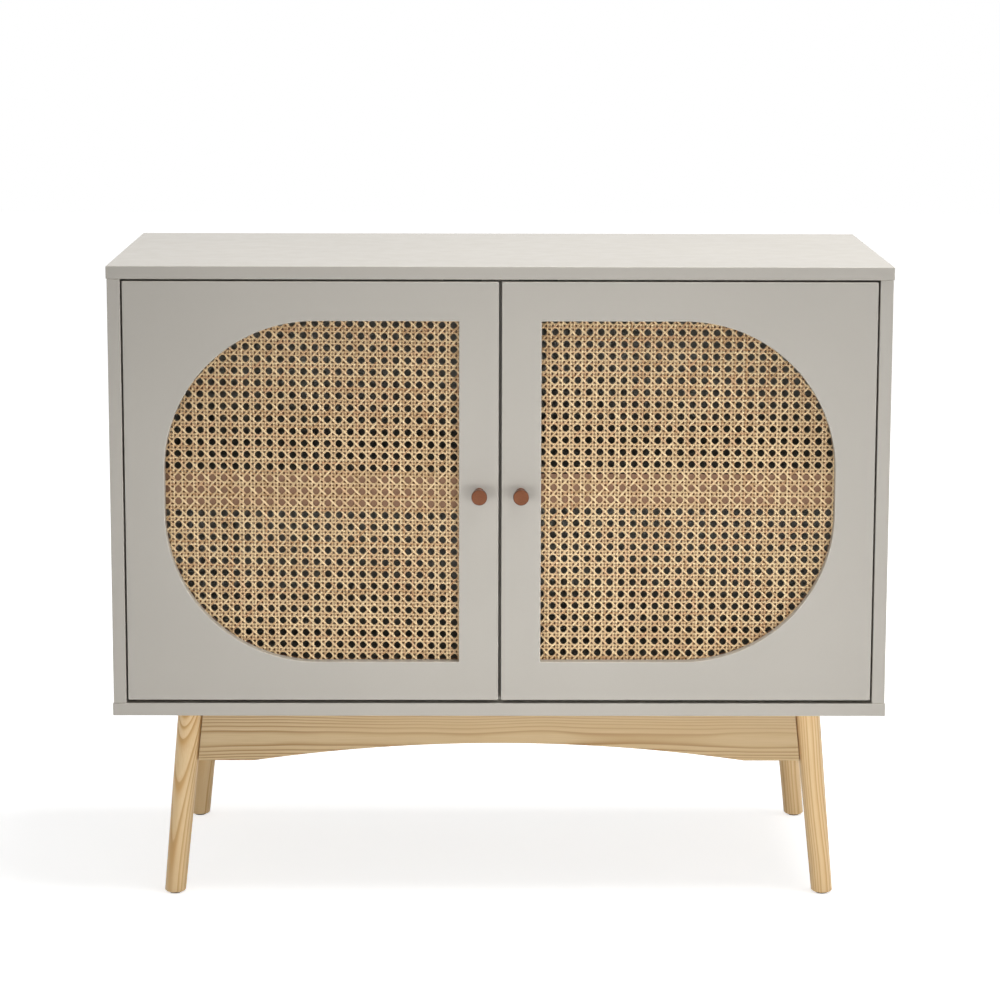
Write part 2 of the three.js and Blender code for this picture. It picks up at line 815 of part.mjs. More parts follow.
// A glide with a nail up into the foot.
function footGlide(name, side, y) {
  const nail = nailDiameter / 2;
  const rim = glideDiameter / 2;
  const profile = [
    [0, 0],
    [rim - glideThickness / 2, 0],
    [rim, glideThickness / 2],
    [rim, glideThickness],
    [nail, glideThickness],
    [nail, glideThickness + nailLength - nail],
    [0, glideThickness + nailLength],
  ];
  const mesh = piece(name, turned(profile, smallRoundSides), "darkPlastic");
  mesh.rotation.x = Math.PI / 2;
  mesh.position.set(side * legAxisX(legFootZ), y, 0);
  return mesh;
}

// A rail between the left and right leg: level along the top, arched below, with a tenon at each end.
function apron(name, y) {
  const low = legHeight - apronHeight;
  const endX = (height) => legInnerX(height) - seatGap;
  const archX = endX(low) - archEndLength;
  const outline = new THREE.Shape();
  outline.moveTo(-endX(low), low);
  outline.lineTo(-archX, low);
  outline.quadraticCurveTo(0, low + 2 * archRise, archX, low);
  outline.lineTo(endX(low), low);
  outline.lineTo(endX(legTopZ), legTopZ);
  outline.lineTo(-endX(legTopZ), legTopZ);
  outline.closePath();
  const rail = slabAlongY(outline, railThickness, y - railThickness / 2, archSegments);
  const tenons = [-1, 1].map((side) =>
    slabAlongY(apronTenonShape(side, 0), tenonThickness, y - tenonThickness / 2),
  );
  return piece(name, joined([rail, ...tenons]), "pine");
}

function railEndOffset() {
  return legRadius(legHeight) + seatGap;
}

function sideRail(name, side) {
  const low = legHeight - sideRailHeight;
  const start = frontLegY + railEndOffset();
  const end = rearLegY - railEndOffset();
  const board = slabAlongY(sideRailShape(side, railThickness, low, legTopZ), end - start, start);
  const tenon = slabAlongY(railTenonShape(side, 0), end - start + 2 * tenonLength, start - tenonLength);
  return piece(name, joined([board, tenon]), "pine");
}

// A block in the corner of the frame, along the inner faces of the apron and the side rail. Its cut corner
// leaves room for the leg.
function cornerBlock(name, side, y, inward) {
  const faceX = legAxisX(legTopZ) - railThickness / 2 - seatGap;
  const faceY = railThickness / 2 + seatGap;
  const clear = legRadius(legTopZ) + seatGap;
  const nearX = legAxisX(legTopZ) - clear;
  const outline = [
    [nearX, faceY],
    [faceX, clear],
    [faceX, blockLeg],
    [faceX - blockNose, blockLeg],
    [faceX - blockLeg, faceY + blockNose],
    [faceX - blockLeg, faceY],
  ];
  const drawn = shapeOf(outline.map(([x, fromAxis]) => [side * x, y + inward * fromAxis]));
  const geometry = new THREE.ExtrudeGeometry(drawn, { depth: blockHeight, bevelEnabled: false });
  return piece(name, geometry.translate(0, 0, legTopZ - blockHeight), "pine");
}

function legFrame() {
  const group = new THREE.Group();
  for (const [row, y, inward] of [
    ["front", frontLegY, 1],
    ["back", rearLegY, -1],
  ]) {
    for (const [hand, side] of [
      ["left", -1],
      ["right", 1],
    ])
      group.add(
        leg(`${row}_${hand}_leg`, side, y, inward),
        footGlide(`${row}_${hand}_foot_glide`, side, y),
        cornerBlock(`${row}_${hand}_corner_block`, side, y, inward),
      );
    group.add(apron(`${row}_apron`, y));
  }
  group.add(sideRail("left_rail", -1), sideRail("right_rail", 1));
  return group;
}

function caseOfBoards() {
  const group = new THREE.Group();
  group.add(
    endPanel("top_panel", topUnderZ, topUnderZ - overrun, topUnderZ + grooveDepth),
    endPanel("bottom_panel", legHeight, bottomTopZ - grooveDepth, bottomTopZ + overrun),
    centrePartition(),
    backPanel(),
  );
  for (const [hand, side] of [
    ["left", -1],
    ["right", 1],
  ])
    group.add(
      sidePanel(hand + "_side_panel", side),
      shelf(hand + "_shelf", side),
      ...shelfPins(hand, side),
      magneticCatch(hand + "_catch", side),
      ...hingesOnCase(hand, side),
    );
  return group;
}

const sideboard = new THREE.Group();
sideboard.add(caseOfBoards(), legFrame(), door("left", -1), door("right", 1));

export default sideboard;
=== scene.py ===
"""The look of a painted sideboard with cane doors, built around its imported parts.

The file is laid out as an add-on and run as a script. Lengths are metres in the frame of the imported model:
X to the right of someone who faces the doors, Y to the back, Z up from the floor.
"""

import functools
import math

import bpy
import numpy as np
from mathutils import Euler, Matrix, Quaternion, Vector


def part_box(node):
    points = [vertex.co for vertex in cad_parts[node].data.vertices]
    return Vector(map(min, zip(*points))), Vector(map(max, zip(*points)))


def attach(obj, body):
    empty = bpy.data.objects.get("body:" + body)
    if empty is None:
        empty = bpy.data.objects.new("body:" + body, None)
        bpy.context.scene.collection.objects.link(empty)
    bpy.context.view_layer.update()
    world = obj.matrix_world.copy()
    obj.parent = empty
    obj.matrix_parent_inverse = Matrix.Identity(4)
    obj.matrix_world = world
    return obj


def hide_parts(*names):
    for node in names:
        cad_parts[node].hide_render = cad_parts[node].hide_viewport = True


bl_info = {
    "name": "Cane Door Sideboard",
    "version": (1, 0, 0),
    "blender": (4, 5, 0),
    "location": "3D View > Sidebar > Sideboard",
    "description": "Builds a painted sideboard with woven cane doors around its packed parts",
    "category": "Object",
}

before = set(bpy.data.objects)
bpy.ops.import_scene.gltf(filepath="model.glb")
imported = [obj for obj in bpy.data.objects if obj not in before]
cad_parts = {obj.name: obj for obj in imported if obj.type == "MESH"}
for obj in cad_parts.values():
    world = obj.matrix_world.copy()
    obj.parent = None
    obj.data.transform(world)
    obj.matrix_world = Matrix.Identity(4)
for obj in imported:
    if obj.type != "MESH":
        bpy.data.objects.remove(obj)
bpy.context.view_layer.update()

MM = 0.001
HANDS = (("left", -1), ("right", 1))
ROWS = ("front", "back")
LEVELS = ("lower", "upper")
FRONT = np.array([0.0, -1.0, 0.0])
UP = np.array([0.0, 0.0, 1.0])


def low_high(node):
    """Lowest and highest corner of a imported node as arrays."""
    low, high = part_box(node)
    return np.array(low), np.array(high)


def middle_of(node):
    low, high = low_high(node)
    return (low + high) / 2


def srgb(*levels):
    """Scene colour of a display colour from 0 to 255: the display curve undone for each channel."""
    shares = [level / 255 for level in levels]
    return tuple(s / 12.92 if s <= 0.04045 else ((s + 0.055) / 1.055) ** 2.4 for s in shares)


# Sizes and colours that a user would change


def length(name, description, millimetres):
    return bpy.props.FloatProperty(
        name=name, description=description, default=millimetres * MM, min=0.0, unit="LENGTH", precision=5
    )


def tint(name, description, *levels):
    return bpy.props.FloatVectorProperty(
        name=name, description=description, default=srgb(*levels), size=3, min=0.0, max=1.0, subtype="COLOR"
    )


def strength(name, description, value, unit="POWER"):
    return bpy.props.FloatProperty(name=name, description=description, default=value, min=0.0, unit=unit)


class SideboardBoards(bpy.types.PropertyGroup):
    """Edges of the case boards and the doors."""

    edge_radius: length("Edge radius", "Rounding of the painted board edges", 0.9)
    window_margin: length("Window margin", "From the door's edges to its window", 45.5)
    window_radius: length("Window radius", "Large corners on the hinge side of the window", 174)
    window_corner: length("Window corner", "Small corners on the meeting side of the window", 1.2)
    rebate_width: length("Rebate width", "Step round the back of the window", 8)
    rebate_depth: length("Rebate depth", "Depth of that step", 2.7)
    ring_width: length("Ring width", "Board ring that clamps the cane", 14)
    bar_height: length("Bar height", "Bar across the ring", 40)


class SideboardCane(bpy.types.PropertyGroup):
    """The woven cane."""

    pitch_across: length("Pitch across", "From hole to hole along a row", 13.28)
    pitch_up: length("Pitch up", "From row to row", 13.94)
    upright_offset: length("Upright offset", "From the middle of an upright pair to its strands", 1.49)
    level_offset: length("Level offset", "From the middle of a level pair to its strands", 1.6)
    strand_width: length("Strand width", "Width of an upright or level strand", 2.6)
    slant_width: length("Slant width", "Width of a slanting strand", 2.08)
    strand_thickness: length("Strand thickness", "Thickness of every strand", 0.84)


class SideboardLegs(bpy.types.PropertyGroup):
    """The turned legs and the rails between them."""

    splay: bpy.props.FloatProperty(
        name="Splay", description="Sideways lean of a leg", default=math.radians(5.5), unit="ROTATION"
    )
    top_diameter: length("Top diameter", "Leg at the case", 29.5)
    foot_diameter: length("Foot diameter", "Leg at the floor", 24.8)
    end_inset: length("End inset", "From the end of the case to the leg's axis at the top", 87.5)
    foot_chamfer: length("Foot chamfer", "Bevel round the foot", 1.4)
    arch_rise: length("Arch rise", "Rise of the apron's lower edge", 21)
    arch_end: length("Arch end", "Level stretch of the apron beside each leg", 66)


class SideboardColours(bpy.types.PropertyGroup):
    """Colours of the finishes."""

    paint: tint("Paint", "Satin lacquer on the boards", 187, 182, 173)
    cane_light: tint("Light cane", "Palest strands", 238, 210, 164)
    cane_dark: tint("Dark cane", "Darkest strands", 163, 113, 58)
    pine_light: tint("Light pine", "Wood between the year rings", 224, 197, 152)
    pine_dark: tint("Dark pine", "Late wood of a year ring", 191, 141, 72)
    raw_board: tint("Raw board", "Fibre board without paint", 157, 123, 99)
    copper: tint("Copper", "Turned knobs", 106, 65, 43)


class SideboardLight(bpy.types.PropertyGroup):
    """Lamps and surroundings."""

    sky: strength("Sky", "Strength of the even light all round", 0.31, "NONE")
    key: strength("Key lamp", "Power of the large lamp at the front right", 1.5)
    front: strength("Front lamp", "Power of each of the two low lamps in front", 0.9)
    side: strength("Side lamp", "Power of the low lamp on the right", 4)
    over: strength("Top lamp", "Power of the lamp overhead", 63)


SETTINGS = {
    "sideboard_boards": SideboardBoards,
    "sideboard_cane": SideboardCane,
    "sideboard_legs": SideboardLegs,
    "sideboard_colours": SideboardColours,
    "sideboard_light": SideboardLight,
}


def settings(group):
    return getattr(bpy.context.scene, "sideboard_" + group)


# Meshes from arrays. A part is (points, faces, marks): an array of places, a list of arrays of corner
# numbers, and a dictionary of values for each point.


def stacked(*coordinates):
    """Places from their three coordinates, each of which may be one number for all."""
    return np.stack(np.broadcast_arrays(*coordinates), -1)


def closed(points, faces, **marks):
    """A closed part whose faces look out.

    The signed volume is the sum over all triangles of a . (b x c) / 6. Where it is below zero, each face is
    read backwards.
    """
    points = np.asarray(points, float)
    volume = 0.0
    for block in faces:
        for k in range(1, block.shape[1] - 1):
            a, b, c = points[block[:, 0]], points[block[:, k]], points[block[:, k + 1]]
            volume += np.einsum("ij,ij->", a, np.cross(b, c))
    return points, faces if volume > 0 else [block[:, ::-1] for block in faces], marks


def together(parts):
    """Several parts as one, with their corner numbers moved on."""
    points, faces, marks, start = [], [], {}, 0
    names = sorted({name for part in parts for name in part[2]})
    for part_points, part_faces, part_marks in parts:
        points.append(part_points)
        faces += [block + start for block in part_faces]
        for name in names:
            width = next(p[2][name].shape[1:] for p in parts if name in p[2])
            empty = np.zeros((len(part_points), *width))
            marks.setdefault(name, []).append(part_marks.get(name, empty))
        start += len(part_points)
    return np.concatenate(points), faces, {name: np.concatenate(v) for name, v in marks.items()}


def grid(rows, columns, wrap_rows=False, wrap_columns=False):
    """Quads between neighbours on a grid of rows by columns, which may close on itself either way."""
    r = np.arange(rows if wrap_rows else rows - 1)[:, None]
    c = np.arange(columns if wrap_columns else columns - 1)[None, :]
    r2, c2 = (r + 1) % rows, (c + 1) % columns
    return stacked(r * columns + c, r * columns + c2, r2 * columns + c2, r2 * columns + c).reshape(-1, 4)


def carried(rings, hoop=False, **marks):
    """Rings of equally many points joined to a closed skin: a hoop, or a bar with flat ends."""
    rings = np.asarray(rings)
    count, sides = rings.shape[:2]
    faces = [grid(count, sides, hoop, True)]
    if not hoop:
        faces += [np.arange(sides)[None, ::-1], (count - 1) * sides + np.arange(sides)[None, :]]
    flat = {name: values.reshape(-1, *values.shape[2:]) for name, values in marks.items()}
    return closed(rings.reshape(-1, 3), faces, **flat)


def new_mesh(name, part, sharp_angle=35):
    points, faces, marks = part
    mesh = bpy.data.meshes.new(name)
    corners = np.concatenate([block.ravel() for block in faces]).astype(np.int32)
    sizes = np.concatenate([np.full(len(block), block.shape[1]) for block in faces])
    mesh.vertices.add(len(points))
    mesh.vertices.foreach_set("co", points.astype(np.float32).ravel())
    mesh.loops.add(len(corners))
    mesh.loops.foreach_set("vertex_index", corners)
    mesh.polygons.add(len(sizes))
    mesh.polygons.foreach_set("loop_start", np.r_[0, np.cumsum(sizes)[:-1]].astype(np.int32))
    mesh.polygons.foreach_set("use_smooth", np.ones(len(sizes), bool))
    for mark, values in marks.items():
        kind, field = ("FLOAT_VECTOR", "vector") if values.ndim == 2 else ("FLOAT", "value")
        layer = mesh.attributes.new(mark, kind, "POINT")
        layer.data.foreach_set(field, values.astype(np.float32).ravel())
    mesh.update(calc_edges=True)
    mesh.set_sharp_from_angle(angle=math.radians(sharp_angle))
    return mesh


def linked(name, data):
    """An object with this data, in the scene."""
    made = bpy.data.objects.new(name, data)
    bpy.context.scene.collection.objects.link(made)
    return made


def add_piece(name, part, body, slot, replaces=(), finish=None, cutters=None, sharp_angle=35):
    """Puts a part into the scene as a piece that rides on a body. Cutters are bored out of it first. Its
    finish is its slot's unless another one is given."""
    piece = linked(name, new_mesh(name, part, sharp_angle))
    if cutters:
        tool = linked(name + "_tool", new_mesh(name + "_tool", together(cutters)))
        bore = piece.modifiers.new("Bore", "BOOLEAN")
        bore.operation, bore.solver, bore.object = "DIFFERENCE", "EXACT", tool
        seen = piece.evaluated_get(bpy.context.evaluated_depsgraph_get())
        piece.data = bpy.data.meshes.new_from_object(seen)
        piece.data.set_sharp_from_angle(angle=math.radians(sharp_angle))
        piece.modifiers.clear()
        bpy.data.objects.remove(tool)
    piece.data.materials.clear()
    piece.data.materials.append(finish or finish_of(slot))
    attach(piece, body)
    if replaces:
        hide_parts(*replaces)


# Shapes


def rounded_box(low, high, radius, steps=2):
    """A box with rounded edges.

    Each point q of the plain box's skin goes to c + r (q - c) / |q - c|, where c is the nearest point to q
    of the box that is smaller by the radius r all round. The skin's lines lie at r (1 - tan a) from each
    edge, with a in even steps from 45 degrees to 0, so the rounding has even steps too.
    """
    low, high = np.asarray(low, float), np.asarray(high, float)
    thinnest = (high - low).min()
    radius = min(radius, 0.45 * thinnest)
    near = radius * (1 - np.tan(np.linspace(math.pi / 4, 0, steps + 1)))
    near = np.append(near, 1.2 * radius if 2.4 * radius < thinnest else [])
    lines = [np.concatenate([low[k] + near, (high[k] - near)[::-1]]) for k in range(3)]
    skins, blocks, start = [], [], 0
    for axis in range(3):
        u, v = lines[(axis + 1) % 3], lines[(axis + 2) % 3]
        for face in (low[axis], high[axis]):
            skin = np.empty((len(u), len(v), 3))
            skin[..., (axis + 1) % 3] = u[:, None]
            skin[..., (axis + 2) % 3] = v[None, :]
            skin[..., axis] = face
            quads = grid(len(u), len(v))
            blocks.append((quads if face == high[axis] else quads[:, ::-1]) + start)
            skins.append(skin.reshape(-1, 3))
            start += len(skins[-1])
    skin = np.concatenate(skins)
    _, first, merged = np.unique(np.round(skin / (0.01 * MM)), axis=0, return_index=True, return_inverse=True)
    skin = skin[first]
    core = np.clip(skin, low + radius, high - radius)
    away = skin - core
    distance = np.linalg.norm(away, axis=1, keepdims=True)
    edge = ((np.abs(away) > 1e-9).sum(1) > 1).astype(float)
    return closed(core + radius * away / distance, [merged.ravel()[block] for block in blocks], edge=edge)


def across_axes(axis):
    """A unit direction, and two more that are square to it and to each other."""
    axis = np.asarray(axis, float) / np.linalg.norm(axis)
    side = np.cross(axis, [1.0, 0, 0] if abs(axis[0]) < 0.9 else [0, 1.0, 0])
    side /= np.linalg.norm(side)
    return axis, side, np.cross(axis, side)


def circle(sides, start=0.0):
    """Cosines and sines of even steps round a full turn. The first is a share of a step on."""
    angle = (np.arange(sides) + start) * 2 * math.pi / sides
    return np.cos(angle), np.sin(angle)


def turned(profile, origin, axis, sides=40):
    """A profile of (radius, distance) turned round an axis: origin + distance axis + radius (cos t side +
    sin t other). The profile starts and ends on the axis, in one point each. The mark "turning" is the
    length run along the profile."""
    axis, side, other = across_axes(axis)
    profile = np.asarray(profile, float)
    run = np.r_[0, np.cumsum(np.linalg.norm(np.diff(profile, axis=0), axis=1))]
    ring, rise = profile[1:-1, 0], profile[1:-1, 1]
    cosine, sine = circle(sides)
    spoke = cosine[:, None] * side + sine[:, None] * other
    skin = np.asarray(origin) + rise[:, None, None] * axis + ring[:, None, None] * spoke[None]
    ends = [np.asarray(origin) + profile[k, 1] * axis for k in (0, -1)]
    around = np.arange(sides)
    after = (around + 1) % sides
    pole, last = len(ring) * sides, (len(ring) - 1) * sides
    caps = [
        np.stack([np.full(sides, pole), after, around], 1),
        np.stack([np.full(sides, pole + 1), last + around, last + after], 1),
    ]
    turning = np.r_[np.repeat(run[1:-1], sides), run[0], run[-1]]
    points = np.concatenate([skin.reshape(-1, 3), ends])
    return closed(points, [grid(len(ring), sides, wrap_columns=True), *caps], turning=turning)


def arc(centre, radius, start, end, steps):
    """Points of an arc as (radius, distance) pairs: centre + r (cos a, sin a), with a in even steps."""
    angle = np.radians(np.linspace(start, end, steps + 1))
    return [(centre[0] + radius * math.cos(a), centre[1] + radius * math.sin(a)) for a in angle]


def quarter(radius, steps=4):
    """Pairs of inset and depth along a rounded edge: r (1 - sin t), r (1 - cos t), with t from 0 to 90
    degrees."""
    t = np.linspace(0, math.pi / 2, steps + 1)
    return radius * (1 - np.stack([np.sin(t), np.cos(t)], 1))


def drill(origin, axis, diameter, depth):
    """A plain cylinder from 1 mm above a face down into it, to be cut out of a board."""
    r = diameter / 2
    return turned([(0, MM), (r, MM), (r, -depth), (0, -depth)], origin, axis, 32)


def screw_head(origin, axis, diameter, height, sides=24):
    """A domed head with a cross in it. Over its rings the height is h sqrt(1 - 0.8 (r/R)^2), and it drops by
    half of h where the smaller of the two distances from the cross's arms is under a fifteenth of the
    diameter and r is under 0.62 R."""
    axis, side, other = across_axes(axis)
    share = np.array([0.08, 0.16, 0.3, 0.45, 0.58, 0.66, 0.8, 0.92, 1.0, 1.0])[:, None]
    cosine, sine = circle(sides, 0.5)
    u, v = diameter / 2 * share * cosine, diameter / 2 * share * sine
    cross = (np.minimum(abs(u), abs(v)) < diameter / 15) & (share < 0.62)
    lift = height * (np.sqrt(1 - 0.8 * share**2) - 0.5 * cross)
    lift[-1] = 0
    return carried(origin + u[..., None] * side + v[..., None] * other + lift[..., None] * axis)


# Finishes: every colour, grain and sheen is worked out by nodes


def shade(colour, factor):
    return tuple(min(1.0, channel * factor) for channel in colour)


def between(first, second, share):
    return tuple((1 - share) * a + share * b for a, b in zip(first, second))


class Nodes:
    """A node tree whose nodes are added and joined one call at a time."""

    def __init__(self, tree):
        self.nodes, self.links = tree.nodes, tree.links

    def first(self, kind):
        return next(node for node in self.nodes if node.type == kind)

    def feed(self, socket, value):
        if isinstance(value, bpy.types.NodeSocket):
            self.links.new(value, socket)
        else:
            socket.default_value = (*value, 1.0) if socket.type == "RGBA" and len(value) == 3 else value

    def node(self, kind, inputs, output=0, **choices):
        made = self.nodes.new("ShaderNode" + kind)
        for name, value in choices.items():
            setattr(made, name, value)
        for socket, value in inputs.items():
            self.feed(made.inputs[socket], value)
        return made.outputs[output]

    def place(self):
        return self.node("TexCoord", {}, "Object")

    def mark(self, name, output="Vector"):
        return self.node("Attribute", {}, output, attribute_name=name)

    def parts(self, vector):
        """The three numbers of a vector."""
        made = self.nodes.new("ShaderNodeSeparateXYZ")
        self.feed(made.inputs[0], vector)
        return made.outputs[:]

    def math(self, operation, *values):
        return self.node("Math", dict(enumerate(values)), operation=operation)

    def vector(self, operation, *values, output=0):
        return self.node("VectorMath", dict(enumerate(values)), output, operation=operation)

    def noise(self, place, scale, detail=2.0, roughness=0.5, output="Fac"):
        """Noise at one scale, or at a scale for each axis."""
        if isinstance(scale, tuple):
            place, scale = self.node("Mapping", {"Vector": place, "Scale": scale}), 1.0
        inputs = {"Vector": place, "Scale": scale, "Detail": detail, "Roughness": roughness}
        return self.node("TexNoise", inputs, output)

    def span(self, value, low, high, to_low, to_high):
        """A value carried from one range to another, and held at its ends."""
        return self.node("MapRange", {0: value, 1: low, 2: high, 3: to_low, 4: to_high}, clamp=True)

    def blend(self, share, first, second):
        return self.node("Mix", {0: share, 6: first, 7: second}, 2, data_type="RGBA")

    def laid(self, colour, other, field, low, high, most):
        """Another colour laid over the first, up to a share of most, where a field rises from low to high."""
        return self.blend(self.span(field, low, high, 0, most), colour, other)

    def mottled(self, field, base, low, high):
        """Shades of a colour from one factor to another, by a noise."""
        return self.laid(shade(base, low), shade(base, high), field, 0.3, 0.7, 1)

    def ramp(self, value, stops):
        made = self.nodes.new("ShaderNodeValToRGB")
        self.feed(made.inputs[0], value)
        elements = made.color_ramp.elements
        elements[0].position, elements[1].position = stops[0][0], stops[-1][0]
        elements[0].color, elements[1].color = (*stops[0][1], 1.0), (*stops[-1][1], 1.0)
        for place, colour in stops[1:-1]:
            elements.new(place).color = (*colour, 1.0)
        return made.outputs[0]


class Finish(Nodes):
    """A material. What is even all over is set on the shader's own sockets."""

    def __init__(self, name, socket=None, value=None):
        self.material = bpy.data.materials.new(name)
        self.material.use_nodes = True
        super().__init__(self.material.node_tree)
        self.shader = self.first("BSDF_PRINCIPLED")
        if socket:
            self.shader.inputs[socket].default_value = value

    def bump(self, height, distance, strength):
        inputs = {"Height": height, "Distance": distance, "Strength": strength}
        self.feed(self.shader.inputs["Normal"], self.node("Bump", inputs))

    def end(self, colour, roughness):
        self.feed(self.shader.inputs["Base Color"], colour)
        self.feed(self.shader.inputs["Roughness"], roughness)
        return self.material


def lacquered_board():
    """Sprayed satin lacquer: a trace of orange peel and faint clouds in the colour. The rounded edges are
    paler: partly wear, partly a painted highlight.
    """
    paint = settings("colours").paint
    finish = Finish("lacquered_board", "Specular IOR Level", 0.45)
    place = finish.place()
    colour = finish.mottled(finish.noise(place, 5, 3), paint, 0.975, 1.02)
    colour = finish.laid(colour, shade(paint, 0.86), finish.noise(place, 700), 0.62, 0.8, 0.25)
    # Painted highlight: the rounded edges are lightened, partly as wear of the lacquer and partly as the
    # light line that they catch.
    edge_wear_and_highlight = finish.span(finish.noise(place, 60, 3), 0.35, 0.65, 0.15, 0.7)
    rubbed_and_highlit_edges = finish.math("MULTIPLY", finish.mark("edge", "Fac"), edge_wear_and_highlight)
    colour = finish.blend(rubbed_and_highlit_edges, colour, shade(paint, 1.28))
    finish.bump(finish.noise(place, 520), 0.05 * MM, 0.35)
    return finish.end(colour, finish.span(finish.noise(place, 45, 3), 0.3, 0.7, 0.34, 0.42))


def pine(name, place_of, ring=2.6, brightness=1.0, wander=(5, 5), uneven=2.0, depth=1.0):
    """Sawn and turned pine. Its year rings are the fraction of distance / ring width, where the distance is
    from a pith outside the piece. It wanders slowly along the grain, and a slow noise of the distance itself
    makes some years wide and some narrow. Each ring darkens to its late wood and ends at once. X runs along
    the grain, and the ring width and the wandering across it are in millimetres."""
    colours = settings("colours")
    finish = Finish(name, "Specular IOR Level", 0.5)
    place = place_of(finish)
    waves = finish.vector("SUBTRACT", finish.noise(place, (5, 9, 9), 1.5, output="Color"), (0.5, 0.5, 0.5))
    waves = finish.vector("MULTIPLY", waves, (0, 2 * wander[0] * MM, 2 * wander[1] * MM))
    section = finish.vector("MULTIPLY", finish.vector("ADD", place, waves), (0, 1, 1))
    years = finish.math("DIVIDE", finish.vector("LENGTH", section, output="Value"), ring * MM)
    line = finish.node("CombineXYZ", {0: finish.math("MULTIPLY", years, 0.45)})
    early = finish.math("MULTIPLY", finish.math("SUBTRACT", finish.noise(line, 1.0, 0), 0.5), uneven)
    rings = finish.math("FRACT", finish.math("ADD", years, early))
    light, dark = shade(colours.pine_light, brightness), shade(colours.pine_dark, brightness * depth)
    shares = ((0.0, 0.3), (0.1, 0.0), (0.5, 0.12), (0.66, 0.45), (0.82, 1.0))
    stops = [(at, between(light, dark, share)) for at, share in shares]
    colour = finish.ramp(rings, [*stops, (0.95, shade(dark, 0.9)), (1.0, between(light, dark, 0.1))])
    patches = finish.noise(place, (2.5, 20, 20), 1)
    colour = finish.laid(colour, between(light, dark, 0.12), patches, 0.35, 0.7, 0.6)
    fibres = finish.noise(place, (16, 1300, 1300))
    colour = finish.laid(colour, between(light, dark, 0.8), fibres, 0.4, 0.75, 0.3)
    warm = tuple(channel * share for channel, share in zip(between(light, dark, 0.25), (1.0, 0.95, 0.87)))
    colour = finish.laid(colour, warm, finish.noise(place, (3, 30, 30)), 0.4, 0.7, 0.35)
    finish.bump(fibres, 0.06 * MM, 0.5)
    return finish.end(colour, finish.span(fibres, 0.3, 0.7, 0.36, 0.5))


def by_grain(finish):
    """The place from the pith, as the legs and aprons carry it."""
    return finish.mark("grain")


def by_place(turn, shift):
    """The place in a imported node, turned about Z so that X runs along the grain."""

    def place_of(finish):
        return finish.node("Mapping", {"Vector": finish.place(), "Rotation": (0, 0, turn), "Location": shift})

    return place_of


def cane():
    """Split cane: a hard glossy skin with long streaks, its own tone on each strand and some reddish lengths.
    Dark brown towards each strand's edges is partly the husk's own colour and partly painted shade; the spots
    in the gaps where two strands of a pair nearly touch are painted shade. See strand_part for the marks it
    reads."""
    light, dark = settings("colours").cane_light, settings("colours").cane_dark
    finish = Finish("cane", "Specular IOR Level", 0.42)
    fibre = finish.mark("fibre")
    _, own_tone, inner_edge = finish.parts(fibre)
    # Painted shade in the gaps of a pair: spots beside the middle of each hole and where the pairs cross.
    hole = finish.math("PINGPONG", finish.mark("cell", "Fac"), 0.5)
    beside = finish.math("ABSOLUTE", finish.math("SUBTRACT", hole, 0.21))
    beside = finish.span(beside, 0.05, 0.105, 1.0, 0.1)
    painted_gap_spots = finish.math("MAXIMUM", beside, finish.span(hole, 0.43, 0.49, 0.0, 0.7))
    streaks = finish.noise(fibre, (45, 60, 1.6), 3)
    drift = finish.math("MULTIPLY", finish.noise(fibre, (16, 90, 0.1)), 0.6)
    tone = finish.math("ADD", finish.math("MULTIPLY", own_tone, 0.5), drift)
    tone = finish.math("ADD", tone, finish.math("MULTIPLY", finish.math("SUBTRACT", streaks, 0.5), 0.55))
    stops = [(0.1, dark), (0.4, between(light, dark, 0.45)), (0.75, light), (1.0, shade(light, 1.12))]
    colour = finish.ramp(tone, stops)
    reddish = srgb(206, 152, 112)
    colour = finish.laid(colour, reddish, finish.noise(fibre, (11, 140, 0), 1), 0.56, 0.66, 0.45)
    # Painted shade: each strand darkens towards its edges (partly the husk's own colour), and a pair's inner
    # edges darken at the spots; the dark brown srgb(78, 36, 0) stands in for the shade there.
    rim = finish.span(finish.math("ABSOLUTE", inner_edge), 0.6, 1.0, 0, 0.4)
    inner = finish.math("MULTIPLY", finish.span(inner_edge, -0.3, 0.35, 0, 1.0), painted_gap_spots)
    painted_crevice_shade = finish.math("MAXIMUM", inner, rim)
    colour = finish.blend(painted_crevice_shade, colour, srgb(78, 36, 0))
    colour = finish.laid(colour, shade(dark, 0.7), finish.noise(fibre, (7, 300, 0), 0), 0.72, 0.78, 0.5)
    finish.bump(streaks, 0.08 * MM, 0.5)
    sheen = finish.span(streaks, 0.3, 0.7, 0.3, 0.46)
    return finish.end(colour, finish.math("ADD", sheen, finish.math("MULTIPLY", painted_crevice_shade, 0.5)))


def raw_board():
    """Fibre board as it comes: short felted fibres, dull and a little blotchy."""
    base = settings("colours").raw_board
    finish = Finish("raw_board", "Specular IOR Level", 0.2)
    place = finish.place()
    felt = finish.noise(place, (900, 900, 260), 3, 0.65)
    colour = finish.mottled(felt, base, 0.84, 1.14)
    colour = finish.laid(colour, shade(base, 0.86), finish.noise(place, 22), 0.35, 0.65, 0.35)
    finish.bump(felt, 0.1 * MM, 0.5)
    return finish.end(colour, finish.span(felt, 0.3, 0.7, 0.78, 0.9))


